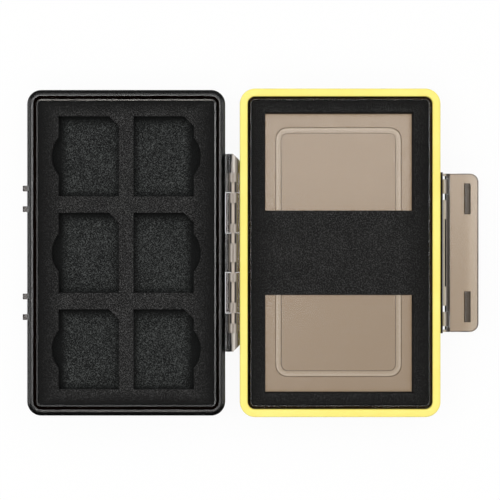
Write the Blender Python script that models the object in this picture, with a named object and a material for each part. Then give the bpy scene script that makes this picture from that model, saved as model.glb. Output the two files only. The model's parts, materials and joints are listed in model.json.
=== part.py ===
"""Battery case: a hinged hard case for two camera batteries and six memory cards.

The case lies open flat, with the lid to the left of the hinge and the base to the right. X runs
across the hinge, Y along it and Z up. The origin is on the surface that the case lies on, in the
middle of its outline. Both halves of the shell are the same tray, whose wall and floor are one
section carried round a rounded rectangle. The base's rim is stepped for its gasket. The hinge
axis is as far above the rims as the closed case needs between them, so the gasket just closes.
"""
from math import asin, cos, pi, radians, sin

import bmesh
import bpy
from mathutils import Matrix

# Trays, the two halves of the shell
TRAY_WIDTH = 0.0800
TRAY_LENGTH = 0.1316
TRAY_DEPTH = 0.0215
CORNER_RADIUS = 0.0057
WALL = 0.0023
FLOOR = 0.0020
FLANGE_REACH = 0.0020
FLANGE_HEIGHT = 0.0050
FOOT_RADIUS = 0.0030
RIM_ROUND = 0.00145
RIM_WIDTH = 0.0023
CHANNEL_WIDTH = 0.0013
CHANNEL_DEPTH = 0.0030
RIDGE_DROP = 0.0004
LEAST_RADIUS = 0.0003

# Raised panel that each tray rests on, a step in its floor
PANEL_SIDE_MARGIN = 0.0145
PANEL_END_MARGIN = 0.0148
PANEL_RADIUS = 0.0050
PANEL_RISE = 0.0009
PANEL_SLOPE = 0.0022

# Gasket, a U section that grips the seat on the base's rim
GASKET_PROUD = 0.0012
GASKET_OVERHANG = 0.0005
GASKET_LEG_DEPTH = 0.0022
GASKET_OUTER_LEG = 0.0009
GASKET_INNER_LEG = 0.0008
GASKET_ROUND = 0.0006
SEAT_WIDTH = 0.0009

# Hinge
HINGE_OFFSET = 0.0032
PIN_RADIUS = 0.0008
BARREL_RADIUS = 0.0020
LID_MIDDLE_LENGTH = 0.0156
BASE_BARREL_LENGTH = 0.0161
LID_OUTER_LENGTH = 0.0154
END_BLOCK_LENGTH = 0.0076
END_BLOCK_RADIUS = 0.0024
END_GROOVE_WIDTH = 0.0006
END_GROOVE_PLACE = 0.0009
END_GROOVE_DEPTH = 0.0009
PIN_GRIP = 0.0045
TROUGH_HALF_WIDTH = 0.0013
MIDDLE_BRIDGE = 0.0076
BASE_BRIDGE = 0.0036
BASE_TROUGH = 0.0084
LID_END_TROUGH = 0.0040
SLIT_WIDTH = 0.00035
ARM_DROP = 0.0012
ARM_HEIGHT = 0.0034
BRACKET_REACH = 0.0022
BRACKET_RISE = 0.0010
WEB_HALF_WIDTH = 0.0012
STOP_THICKNESS = 0.0022
SHELF_END_GAP = 0.0026
ROOT = 0.0012

# Hooks on the lid's far wall
HOOK_REACH = 0.0018
HOOK_WIDTH = 0.0023
HOOK_DROP = 0.0013
HOOK_HEIGHT = 0.0022
HOOK_CHAMFER = 0.0006
HOOK_SPACING = 0.0083
HOOK_PAIR_PITCH = 0.0436

# Latch on the base's far wall
LATCH_OFFSET = 0.0028
LATCH_DROP = 0.0035
LATCH_REACH = 0.0132
LATCH_LENGTH = 0.0640
LATCH_THICKNESS = 0.0013
LATCH_CORNER = 0.0035
LATCH_PLAY = 0.0004
LATCH_BARREL_RADIUS = 0.0011
LATCH_GROOVE = 0.0003
LATCH_GROOVE_DEPTH = 0.0005
LATCH_BARREL_LENGTH = 0.0428
LATCH_BORE_DEPTH = 0.0040
LATCH_PIN_RADIUS = 0.0004
EAR_WIDTH = 0.0010
EAR_RADIUS = 0.0011
LUG_RADIUS = 0.0011
LUG_WIDTH = 0.0058
LUG_PITCH = 0.0536
LUG_DROP = 0.0001
LUG_GUSSET = 0.0016
LEDGE_REACH = 0.0013
SHELF_REACH = 0.0017
SHELF_THICKNESS = 0.0008
BAR_LENGTH = 0.0125
BAR_WIDTH = 0.0027
BAR_HEIGHT = 0.0016
BAR_EDGE = 0.0004
SLOT_LENGTH = 0.0272
SLOT_WIDTH = 0.0006
SLOT_PLACE = 0.00015
SLOT_DEPTH = 0.0008

# Foam in the base
FOAM_DROP = 0.0005
WINDOW_SIDE_WALL = 0.00565
WINDOW_END_WALL = 0.0046
MIDDLE_BAR = 0.0341
WINDOW_SHIFT = 0.0003
PLUG_END_WALL = 0.00385
PLUG_SHIFT = 0.0006
PLUG_WIDTH = 0.0179
PLUG_BUMP_CHORD = 0.0200
PLUG_BUMP_RISE = 0.0040

# Foam in the lid
CARD_LAYER = 0.0046
POCKET_SIDE_WALL = 0.00805
POCKET_END_WALL = 0.0060
COLUMN_WALL = 0.0059
ROW_WALL = 0.0066
POCKET_CHAMFER = 0.0040
NOTCH_CHORD = 0.0153
NOTCH_RISE = 0.0028

# Gap between pieces that touch or turn in each other, and overrun of a cutter
CLEARANCE = 0.0003
OVERRUN = 0.0010
WELD_DISTANCE = 0.000001

# Facets
CORNER_STEPS = 8
ROUND_STEPS = 4
ARC_STEPS = 10
ROUND_SIDES = 24
SMALL_SIDES = 16
SMOOTH_ANGLE = radians(40)

# Heights and places that follow from the sizes
PANEL_WIDTH = TRAY_WIDTH - 2 * PANEL_SIDE_MARGIN
PANEL_LENGTH = TRAY_LENGTH - 2 * PANEL_END_MARGIN
SEAT_INSET = GASKET_OUTER_LEG + CLEARANCE - GASKET_OVERHANG
SEAT_STEP = TRAY_DEPTH - GASKET_LEG_DEPTH - CLEARANCE
INNER_INSET = FLANGE_REACH + WALL
FOAM_INSET = INNER_INSET + CLEARANCE
FOAM_WIDTH = TRAY_WIDTH - 2 * FOAM_INSET
FOAM_LENGTH = TRAY_LENGTH - 2 * FOAM_INSET
FOAM_BOTTOM = PANEL_RISE + FLOOR + CLEARANCE
FOAM_TOP = TRAY_DEPTH - FOAM_DROP
CARD_LAYER_BOTTOM = FOAM_TOP - CARD_LAYER
WINDOW_WIDTH = FOAM_WIDTH - 2 * WINDOW_SIDE_WALL
WINDOW_LENGTH = (FOAM_LENGTH - MIDDLE_BAR) / 2 - WINDOW_END_WALL
PLUG_LENGTH = FOAM_WIDTH - 2 * PLUG_END_WALL
POCKET_WIDTH = (FOAM_WIDTH - COLUMN_WALL) / 2 - POCKET_SIDE_WALL
POCKET_LENGTH = (FOAM_LENGTH - 2 * POCKET_END_WALL - 2 * ROW_WALL) / 3
PIN_RISE = (GASKET_PROUD + CLEARANCE) / 2
PIN_HEIGHT = TRAY_DEPTH + PIN_RISE
PIN_FROM_CENTRE = TRAY_WIDTH / 2 + HINGE_OFFSET
LID_REACH = PIN_FROM_CENTRE + TRAY_WIDTH / 2 + HOOK_REACH
BASE_REACH = PIN_FROM_CENTRE + TRAY_WIDTH / 2 + LATCH_OFFSET + LATCH_REACH
PIN_X = (LID_REACH - BASE_REACH) / 2
BASE_X = PIN_X + PIN_FROM_CENTRE
LATCH_X = BASE_X + TRAY_WIDTH / 2 + LATCH_OFFSET
LATCH_Z = PIN_HEIGHT - LATCH_DROP
LATCH_FACE = LATCH_OFFSET - HOOK_REACH - LATCH_PLAY
PLATE_START = LATCH_BARREL_RADIUS + LATCH_GROOVE
BAR_START = LATCH_DROP + HOOK_DROP + HOOK_HEIGHT + CLEARANCE
BORE_RADIUS = PIN_RADIUS + CLEARANCE
LATCH_BORE_RADIUS = LATCH_PIN_RADIUS + CLEARANCE

# Ends of the hinge's barrels, measured from its middle
MIDDLE_END = LID_MIDDLE_LENGTH / 2
BASE_START = MIDDLE_END + CLEARANCE
BASE_END = BASE_START + BASE_BARREL_LENGTH
OUTER_START = BASE_END + CLEARANCE
OUTER_END = OUTER_START + LID_OUTER_LENGTH
BLOCK_START = OUTER_END - END_BLOCK_LENGTH
PIN_END = BLOCK_START + PIN_GRIP


# Scene, materials and small helpers

def clear_scene():
    for item in list(bpy.data.objects):
        bpy.data.objects.remove(item)


def make_material(name, colour, roughness, metallic=0.0, transmission=0.0):
    material = bpy.data.materials.new(name)
    material.use_nodes = True
    shader = material.node_tree.nodes["Principled BSDF"]
    shader.inputs["Base Color"].default_value = (*colour, 1.0)
    shader.inputs["Roughness"].default_value = roughness
    shader.inputs["Metallic"].default_value = metallic
    shader.inputs["Transmission Weight"].default_value = transmission
    material.diffuse_color = (*colour, 1.0)
    return material


def link_mesh(name, bm, collection):
    """Turn a bmesh into a smooth-shaded object with outward faces."""
    bmesh.ops.recalc_face_normals(bm, faces=bm.faces)
    mesh = bpy.data.meshes.new(name)
    bm.to_mesh(mesh)
    bm.free()
    mesh.shade_smooth()
    mesh.set_sharp_from_angle(angle=SMOOTH_ANGLE)
    item = bpy.data.objects.new(name, mesh)
    collection.objects.link(item)
    return item


def box(name, low, high, collection):
    """A box between two corners."""
    bm = bmesh.new()
    size = [b - a for a, b in zip(low, high)]
    middle = [(a + b) / 2 for a, b in zip(low, high)]
    matrix = Matrix.Translation(middle) @ Matrix.Diagonal((*size, 1.0))
    bmesh.ops.create_cube(bm, size=1.0, matrix=matrix)
    return link_mesh(name, bm, collection)


def turned_along_y(name, x, z, ends, radii, sides, collection):
    """A cylinder or cone whose axis lies along Y, between two ends with a radius at each."""
    bm = bmesh.new()
    middle = (ends[0] + ends[1]) / 2
    matrix = Matrix.Translation((x, middle, z)) @ Matrix.Rotation(-pi / 2, 4, "X")
    bmesh.ops.create_cone(bm, cap_ends=True, segments=sides, radius1=radii[0], radius2=radii[1],
                          depth=ends[1] - ends[0], matrix=matrix)
    return link_mesh(name, bm, collection)


def flat_outline(name, outlines, low, high, collection):
    """A flat sheet between two heights: the first outline is its edge, the others its holes."""
    curve = bpy.data.curves.new(name, "CURVE")
    curve.dimensions = "2D"
    curve.fill_mode = "BOTH"
    curve.extrude = (high - low) / 2
    for points in outlines:
        spline = curve.splines.new("POLY")
        spline.points.add(len(points) - 1)
        for point, (x, y) in zip(spline.points, points):
            point.co = (x, y, 0.0, 1.0)
        spline.use_cyclic_u = True
    item = bpy.data.objects.new(name, curve)
    item.location.z = (low + high) / 2
    collection.objects.link(item)
    return item


def solid_from_curve(curve_object, collection):
    """The mesh of a filled curve, with its caps welded on, in place of the curve."""
    name = curve_object.name
    bpy.context.view_layer.update()
    evaluated = curve_object.evaluated_get(bpy.context.evaluated_depsgraph_get())
    mesh = bpy.data.meshes.new_from_object(evaluated)
    placed = curve_object.matrix_world.copy()
    bpy.data.objects.remove(curve_object)
    bm = bmesh.new()
    bm.from_mesh(mesh)
    bmesh.ops.remove_doubles(bm, verts=bm.verts, dist=WELD_DISTANCE)
    bpy.data.meshes.remove(mesh)
    solid = link_mesh(name, bm, collection)
    solid.matrix_world = placed
    return solid


def prism_along_y(name, outline, y_low, y_high, collection):
    """A flat XZ outline carried along Y."""
    half = (y_high - y_low) / 2
    curve_object = flat_outline(name, [outline], -half, half, collection)
    curve_object.location.y = (y_low + y_high) / 2
    curve_object.rotation_euler.x = pi / 2
    return solid_from_curve(curve_object, collection)


def boolean(target, operation, tools, cutters):
    """Join or cut the target with a collection of wire shapes that stay editable."""
    group = bpy.data.collections.new(target.name + "_" + operation.lower())
    cutters.children.link(group)
    for tool in tools:
        for holder in list(tool.users_collection):
            holder.objects.unlink(tool)
        group.objects.link(tool)
        tool.hide_render = True
        tool.display_type = "WIRE"
        tool.parent = target
    modifier = target.modifiers.new(operation.title(), "BOOLEAN")
    modifier.operation = operation
    modifier.operand_type = "COLLECTION"
    modifier.collection = group
    modifier.solver = "EXACT"


def keep_flats_flat(target):
    """Shade large flat faces flat after the joins and cuts."""
    modifier = target.modifiers.new("Weighted normals", "WEIGHTED_NORMAL")
    modifier.keep_sharp = True


def both_ways(start, end):
    """A stretch along Y and its mirror image, each low end first."""
    return [(start, end), (-end, -start)]


# Outlines

def rounded_outline(half_x, half_y, radius, steps=CORNER_STEPS):
    """Points round a rounded rectangle, counterclockwise from its right side's lower corner."""
    points = []
    for corner, (side_x, side_y) in enumerate(((1, -1), (1, 1), (-1, 1), (-1, -1))):
        for step in range(steps + 1):
            angle = (corner - 1 + step / steps) * pi / 2
            points.append((side_x * (half_x - radius) + radius * cos(angle),
                           side_y * (half_y - radius) + radius * sin(angle)))
    return points


def bulge(start, end, rise, steps=ARC_STEPS):
    """Points of an arc between two points, bulging to the right of the way between them."""
    half_chord = ((end[0] - start[0]) ** 2 + (end[1] - start[1]) ** 2) ** 0.5 / 2
    along = ((end[0] - start[0]) / half_chord / 2, (end[1] - start[1]) / half_chord / 2)
    outward = (along[1], -along[0])
    radius = (half_chord ** 2 + rise ** 2) / (2 * rise)
    spread = asin(half_chord / radius)
    middle = ((start[0] + end[0]) / 2, (start[1] + end[1]) / 2)
    points = []
    for step in range(steps + 1):
        angle = spread * (2 * step / steps - 1)
        ahead = radius * sin(angle)
        out = radius * cos(angle) - radius + rise
        points.append((middle[0] + along[0] * ahead + outward[0] * out,
                       middle[1] + along[1] * ahead + outward[1] * out))
    return points


def pocket_outline(x, y, notch_side):
    """A card's outline with its cut corner, and a thumb notch on the side given by a sign."""
    left, right = x - POCKET_WIDTH / 2, x + POCKET_WIDTH / 2
    low, high = y - POCKET_LENGTH / 2, y + POCKET_LENGTH / 2
    notch_low, notch_high = y - NOTCH_CHORD / 2, y + NOTCH_CHORD / 2
    points = [(left, low), (right, low)]
    if notch_side > 0:
        points += bulge((right, notch_low), (right, notch_high), NOTCH_RISE)
    points += [(right, high - POCKET_CHAMFER), (right - POCKET_CHAMFER, high), (left, high)]
    if notch_side < 0:
        points += bulge((left, notch_high), (left, notch_low), NOTCH_RISE)
    return points


def plug_outline(x, inset):
    """The plug's rectangle with a thumb bump on each long side, drawn in by an inset."""
    half_x = PLUG_LENGTH / 2 - inset
    half_y = PLUG_WIDTH / 2 - inset
    half_chord = PLUG_BUMP_CHORD / 2 - inset
    points = [(x - half_x, -half_y)]
    points += bulge((x - half_chord, -half_y), (x + half_chord, -half_y), PLUG_BUMP_RISE)
    points += [(x + half_x, -half_y), (x + half_x, half_y)]
    points += bulge((x + half_chord, half_y), (x - half_chord, half_y), PLUG_BUMP_RISE)
    points += [(x - half_x, half_y)]
    return points


def window_outline(x, y):
    half_x, half_y = WINDOW_WIDTH / 2, WINDOW_LENGTH / 2
    return [(x - half_x, y - half_y), (x + half_x, y - half_y),
            (x + half_x, y + half_y), (x - half_x, y + half_y)]


# Sections carried round a rounded rectangle

def edge_ring(inset, height):
    """A ring this far inside the tray's outline."""
    radius = max(CORNER_RADIUS - inset, LEAST_RADIUS)
    return TRAY_WIDTH / 2 - inset, TRAY_LENGTH / 2 - inset, radius, height


def panel_ring(inset, height):
    """A ring this far inside the raised panel's outline."""
    radius = max(PANEL_RADIUS - inset, LEAST_RADIUS)
    return PANEL_WIDTH / 2 - inset, PANEL_LENGTH / 2 - inset, radius, height


def quarter_round(inset, height, radius, quarter):
    """Rings of a quarter circle about a point of the section: below it to outward for quarter -1,
    outward to above for 0, and above to inward for 1."""
    rings = []
    for step in range(ROUND_STEPS + 1):
        angle = (quarter + step / ROUND_STEPS) * pi / 2
        rings.append(edge_ring(inset - radius * cos(angle), height + radius * sin(angle)))
    return rings


def outer_skin():
    """The tray's outside, from its panel to the lower edge of its flange."""
    flange_bottom = TRAY_DEPTH - FLANGE_HEIGHT
    rings = [panel_ring(PANEL_SLOPE, 0.0), panel_ring(0.0, PANEL_RISE)]
    rings += quarter_round(FLANGE_REACH + FOOT_RADIUS, PANEL_RISE + FOOT_RADIUS, FOOT_RADIUS, -1)
    rings += [edge_ring(FLANGE_REACH, flange_bottom - FLANGE_REACH), edge_ring(0.0, flange_bottom)]
    return rings


def inner_skin(channel_start):
    """The channel, the ridge and the inside of the wall and floor."""
    channel_end = RIM_WIDTH + CHANNEL_WIDTH
    channel_floor = TRAY_DEPTH - CHANNEL_DEPTH
    ridge_top = TRAY_DEPTH - RIDGE_DROP
    inside_floor = PANEL_RISE + FLOOR
    return [edge_ring(channel_start, channel_floor), edge_ring(channel_end, channel_floor),
            edge_ring(channel_end, ridge_top), edge_ring(INNER_INSET, ridge_top),
            edge_ring(INNER_INSET, inside_floor), panel_ring(0.0, inside_floor),
            panel_ring(PANEL_SLOPE, FLOOR)]


def lid_rim():
    """The rounded outer edge of the rim and its flat top, up to the channel."""
    rings = quarter_round(RIM_ROUND, TRAY_DEPTH - RIM_ROUND, RIM_ROUND, 0)
    return rings + [edge_ring(RIM_WIDTH, TRAY_DEPTH)]


def base_rim():
    """The step and the thin seat that the gasket grips."""
    seat_top = TRAY_DEPTH - CLEARANCE
    seat_end = SEAT_INSET + SEAT_WIDTH
    return [edge_ring(0.0, SEAT_STEP), edge_ring(SEAT_INSET, SEAT_STEP),
            edge_ring(SEAT_INSET, seat_top), edge_ring(seat_end, seat_top)]


def gasket_section():
    """A U upside down with rounded upper edges, as a closed loop of rings."""
    outside = -GASKET_OVERHANG
    inside = SEAT_INSET + SEAT_WIDTH + CLEARANCE + GASKET_INNER_LEG
    leg_bottom = TRAY_DEPTH - GASKET_LEG_DEPTH
    round_height = TRAY_DEPTH + GASKET_PROUD - GASKET_ROUND
    inner_leg = inside - GASKET_INNER_LEG
    outer_leg = outside + GASKET_OUTER_LEG
    rings = [edge_ring(outside, leg_bottom)]
    rings += quarter_round(outside + GASKET_ROUND, round_height, GASKET_ROUND, 0)
    rings += quarter_round(inside - GASKET_ROUND, round_height, GASKET_ROUND, 1)
    rings += [edge_ring(inside, leg_bottom), edge_ring(inner_leg, leg_bottom),
              edge_ring(inner_leg, TRAY_DEPTH), edge_ring(outer_leg, TRAY_DEPTH),
              edge_ring(outer_leg, leg_bottom)]
    return rings


def loft(name, rings, closed, collection):
    """Skin a row of rounded rectangles, closed on itself or capped at both ends."""
    bm = bmesh.new()
    loops = []
    for half_x, half_y, radius, height in rings:
        outline = rounded_outline(half_x, half_y, radius)
        loops.append([bm.verts.new((x, y, height)) for x, y in outline])
    pairs = list(zip(loops, loops[1:]))
    if closed:
        pairs.append((loops[-1], loops[0]))
    else:
        bm.faces.new(loops[0])
        bm.faces.new(loops[-1])
    for first, second in pairs:
        count = len(first)
        for index in range(count):
            ahead = (index + 1) % count
            bm.faces.new((first[index], first[ahead], second[ahead], second[index]))
    return link_mesh(name, bm, collection)


# Hinge parts, in a tray's own frame: u runs from the pin toward the tray's wall, w up from the pin

def hinge_points(side, points):
    """Places given from the pin, as x and z of a tray whose hinge is on the side of this sign."""
    pin_x = side * PIN_FROM_CENTRE
    return [(pin_x - side * u, PIN_HEIGHT + w) for u, w in points]


def lid_arm(bracket):
    """The arm from the lid's wall to a barrel, with the end blocks' raised bracket if asked."""
    root = HINGE_OFFSET + ROOT
    arm_bottom = ARM_DROP + ARM_HEIGHT
    points = [(root, -arm_bottom), (root, -ARM_DROP)]
    if bracket:
        points += [(BRACKET_REACH, -ARM_DROP), (BRACKET_REACH, BRACKET_RISE), (0.0, BRACKET_RISE)]
    else:
        points += [(0.0, -ARM_DROP)]
    return hinge_points(1, points + [(0.0, -BARREL_RADIUS)])


def base_arm():
    """The web under a barrel and the plate across its foot, which stops the lid when flat."""
    top = PIN_RISE + GASKET_LEG_DEPTH + CLEARANCE
    bottom = top + STOP_THICKNESS
    root = HINGE_OFFSET + ROOT
    stop = HINGE_OFFSET - CLEARANCE
    return hinge_points(-1, [(root, -bottom), (root, -top), (WEB_HALF_WIDTH, -top),
                             (WEB_HALF_WIDTH, 0.0), (-WEB_HALF_WIDTH, 0.0),
                             (-WEB_HALF_WIDTH, -top), (-stop, -top), (-stop, -bottom)])


def base_shelf():
    """The plate that runs on from the stop plates, from the base's wall to under the pin."""
    top = PIN_RISE + GASKET_LEG_DEPTH + CLEARANCE
    bottom = top + STOP_THICKNESS
    root = HINGE_OFFSET + ROOT
    return hinge_points(-1, [(root, -bottom), (root, -top), (CLEARANCE, -top),
                             (CLEARANCE, -bottom)])


def pin_cutter(name, side, span, half_width, low, cutters):
    """A box over the pin between two places along it, for a trough or a slit."""
    pin_x = side * PIN_FROM_CENTRE
    return box(name, (pin_x - half_width, span[0], PIN_HEIGHT + low),
               (pin_x + half_width, span[1], PIN_HEIGHT + END_BLOCK_RADIUS + OVERRUN), cutters)


def bore(name, side, cutters):
    pin_x = side * PIN_FROM_CENTRE
    reach = PIN_END + CLEARANCE
    return turned_along_y(name, pin_x, PIN_HEIGHT, (-reach, reach), (BORE_RADIUS, BORE_RADIUS),
                          SMALL_SIDES, cutters)


def end_chamfer(side, cutters):
    """A wedge that takes the base's side off an end block at 45 degrees, from over the pin."""
    across = END_BLOCK_RADIUS + OVERRUN
    points = [(PIN_FROM_CENTRE - OVERRUN, side * (OUTER_END + OVERRUN)),
              (PIN_FROM_CENTRE + across, side * (OUTER_END + OVERRUN)),
              (PIN_FROM_CENTRE + across, side * (OUTER_END - across))]
    wedge = flat_outline("end_chamfer", [points], PIN_HEIGHT - across, PIN_HEIGHT + across,
                         cutters)
    return solid_from_curve(wedge, cutters)


def make_lid_hinge(cutters):
    pin_x = PIN_FROM_CENTRE
    joined = [turned_along_y("lid_barrel_middle", pin_x, PIN_HEIGHT, (-MIDDLE_END, MIDDLE_END),
                             (BARREL_RADIUS, BARREL_RADIUS), ROUND_SIDES, cutters),
              prism_along_y("lid_arm_middle", lid_arm(False), -MIDDLE_END, MIDDLE_END, cutters)]
    cut = [bore("lid_bore", 1, cutters),
           pin_cutter("lid_slit", 1, (-BLOCK_START, BLOCK_START), SLIT_WIDTH / 2, 0.0, cutters)]
    for low, high in both_ways(OUTER_START, BLOCK_START + OVERRUN):
        joined.append(turned_along_y("lid_barrel", pin_x, PIN_HEIGHT, (low, high),
                                     (BARREL_RADIUS, BARREL_RADIUS), ROUND_SIDES, cutters))
        joined.append(prism_along_y("lid_arm", lid_arm(False), low, high, cutters))
    for low, high in both_ways(BLOCK_START, OUTER_END):
        joined.append(turned_along_y("end_block", pin_x, PIN_HEIGHT, (low, high),
                                     (END_BLOCK_RADIUS, END_BLOCK_RADIUS), ROUND_SIDES, cutters))
        joined.append(prism_along_y("end_bracket", lid_arm(True), low, high, cutters))
        groove_x = pin_x - END_GROOVE_PLACE
        cut.append(box("end_groove",
                       (groove_x - END_GROOVE_WIDTH / 2, low - OVERRUN,
                        PIN_HEIGHT + END_BLOCK_RADIUS - END_GROOVE_DEPTH),
                       (groove_x + END_GROOVE_WIDTH / 2, high + OVERRUN,
                        PIN_HEIGHT + END_BLOCK_RADIUS + OVERRUN), cutters))
    cut += [end_chamfer(side, cutters) for side in (-1, 1)]
    for low, high in both_ways(MIDDLE_BRIDGE / 2, MIDDLE_END + OVERRUN):
        cut.append(pin_cutter("lid_trough", 1, (low, high), TROUGH_HALF_WIDTH, 0.0, cutters))
    for low, high in both_ways(OUTER_START - OVERRUN, OUTER_START + LID_END_TROUGH):
        cut.append(pin_cutter("lid_trough", 1, (low, high), TROUGH_HALF_WIDTH, 0.0, cutters))
    return joined, cut


def make_base_hinge(cutters):
    pin_x = -PIN_FROM_CENTRE
    shelf_end = OUTER_END - SHELF_END_GAP
    joined = [prism_along_y("base_shelf", base_shelf(), -shelf_end, shelf_end, cutters)]
    cut = [bore("base_bore", -1, cutters)]
    for low, high in both_ways(BASE_START, BASE_END):
        joined.append(turned_along_y("base_barrel", pin_x, PIN_HEIGHT, (low, high),
                                     (BARREL_RADIUS, BARREL_RADIUS), ROUND_SIDES, cutters))
        joined.append(prism_along_y("base_arm", base_arm(), low, high, cutters))
        cut.append(pin_cutter("base_slit", -1, (low - OVERRUN, high + OVERRUN), SLIT_WIDTH / 2,
                              0.0, cutters))
    trough_start = BASE_START + BASE_BRIDGE
    for low, high in both_ways(trough_start, trough_start + BASE_TROUGH):
        cut.append(pin_cutter("base_trough", -1, (low, high), TROUGH_HALF_WIDTH, 0.0, cutters))
    return joined, cut


# Hooks and lugs

def hook_places():
    """Middles of the four hooks along Y: a pair behind each of the latch's bars."""
    return [pair * HOOK_PAIR_PITCH / 2 + one * HOOK_SPACING / 2
            for pair in (-1, 1) for one in (-1, 1)]


def make_hooks(cutters):
    wall_x = -TRAY_WIDTH / 2
    top = PIN_HEIGHT - HOOK_DROP
    bottom = top - HOOK_HEIGHT
    outline = [(wall_x + ROOT, bottom), (wall_x + ROOT, top),
               (wall_x - HOOK_REACH + HOOK_CHAMFER, top),
               (wall_x - HOOK_REACH, top - HOOK_CHAMFER), (wall_x - HOOK_REACH, bottom)]
    return [prism_along_y("hook", outline, y - HOOK_WIDTH / 2, y + HOOK_WIDTH / 2, cutters)
            for y in hook_places()]


def make_lugs(cutters):
    """The ledge along the base's wall, with a shelf under the barrel, and two lugs on it."""
    wall_x = TRAY_WIDTH / 2
    pivot_x = wall_x + LATCH_OFFSET
    root_x = wall_x - ROOT
    ledge_x = wall_x + LEDGE_REACH
    top = LATCH_Z - LUG_DROP
    low = LATCH_Z - LUG_RADIUS + LUG_DROP
    half_ledge = LATCH_LENGTH / 2
    shelf_x = wall_x + SHELF_REACH
    shelf = LATCH_Z - PLATE_START - CLEARANCE
    foot = shelf - SHELF_THICKNESS
    joined = [prism_along_y("ledge", [(root_x, foot - LUG_GUSSET), (root_x, top), (ledge_x, top),
                                      (ledge_x, shelf), (shelf_x, shelf), (shelf_x, foot)],
                            -half_ledge, half_ledge, cutters)]
    cut = []
    for side in (-1, 1):
        y = side * LUG_PITCH / 2
        ends = (y - LUG_WIDTH / 2, y + LUG_WIDTH / 2)
        joined.append(turned_along_y("lug_boss", pivot_x, LATCH_Z, ends, (LUG_RADIUS, LUG_RADIUS),
                                     ROUND_SIDES, cutters))
        joined.append(prism_along_y("lug_arm", [(root_x, low), (root_x, top), (pivot_x, top),
                                                (pivot_x, low)],
                                    ends[0], ends[1], cutters))
        cut.append(turned_along_y("lug_bore", pivot_x, LATCH_Z,
                                  (ends[0] - OVERRUN, ends[1] + OVERRUN),
                                  (LATCH_BORE_RADIUS, LATCH_BORE_RADIUS), SMALL_SIDES, cutters))
    return joined, cut


# Pieces

def make_lid_shell(parts, cutters, material):
    shell = loft("lid_shell", outer_skin() + lid_rim() + inner_skin(RIM_WIDTH), False, parts)
    joined, cut = make_lid_hinge(cutters)
    boolean(shell, "UNION", joined + make_hooks(cutters), cutters)
    boolean(shell, "DIFFERENCE", cut, cutters)
    keep_flats_flat(shell)
    shell.data.materials.append(material)
    return shell


def make_base_shell(parts, cutters, material):
    seat_end = SEAT_INSET + SEAT_WIDTH
    shell = loft("base_shell", outer_skin() + base_rim() + inner_skin(seat_end), False, parts)
    hinge_joined, hinge_cut = make_base_hinge(cutters)
    lug_joined, lug_cut = make_lugs(cutters)
    boolean(shell, "UNION", hinge_joined + lug_joined, cutters)
    boolean(shell, "DIFFERENCE", hinge_cut + lug_cut, cutters)
    keep_flats_flat(shell)
    shell.data.materials.append(material)
    return shell


def make_gasket(parts, material):
    gasket = loft("gasket", gasket_section(), True, parts)
    gasket.data.materials.append(material)
    return gasket


def make_hinge_pin(parts, material):
    pin = turned_along_y("hinge_pin", 0.0, 0.0, (-PIN_END, PIN_END), (PIN_RADIUS, PIN_RADIUS),
                         SMALL_SIDES, parts)
    pin.data.materials.append(material)
    return pin


def make_latch_pin(name, side, parts, material):
    """A short pin from inside the latch's barrel, through the lug, into the latch's ear."""
    inner = LATCH_BARREL_LENGTH / 2 - LATCH_BORE_DEPTH + CLEARANCE
    outer = LATCH_LENGTH / 2 - CLEARANCE
    ends = (inner, outer) if side > 0 else (-outer, -inner)
    pin = turned_along_y(name, 0.0, 0.0, ends, (LATCH_PIN_RADIUS, LATCH_PIN_RADIUS),
                         SMALL_SIDES, parts)
    pin.data.materials.append(material)
    return pin


def latch_plate_outline():
    """The flap seen from above: rounded at its free edge, square at the lugs."""
    half = LATCH_LENGTH / 2
    rounded = rounded_outline(LATCH_REACH, half, LATCH_CORNER)
    free_edge = [point for point in rounded if point[0] > PLATE_START]
    return [(PLATE_START, -half)] + free_edge + [(PLATE_START, half)]


def latch_neck(name, start, end, low, cutters):
    """What joins the flap to a stretch of barrel, sunk to leave a groove beside the barrel."""
    return box(name, (0.0, start, low),
               (PLATE_START + OVERRUN, end, LATCH_FACE - LATCH_GROOVE_DEPTH), cutters)


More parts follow.
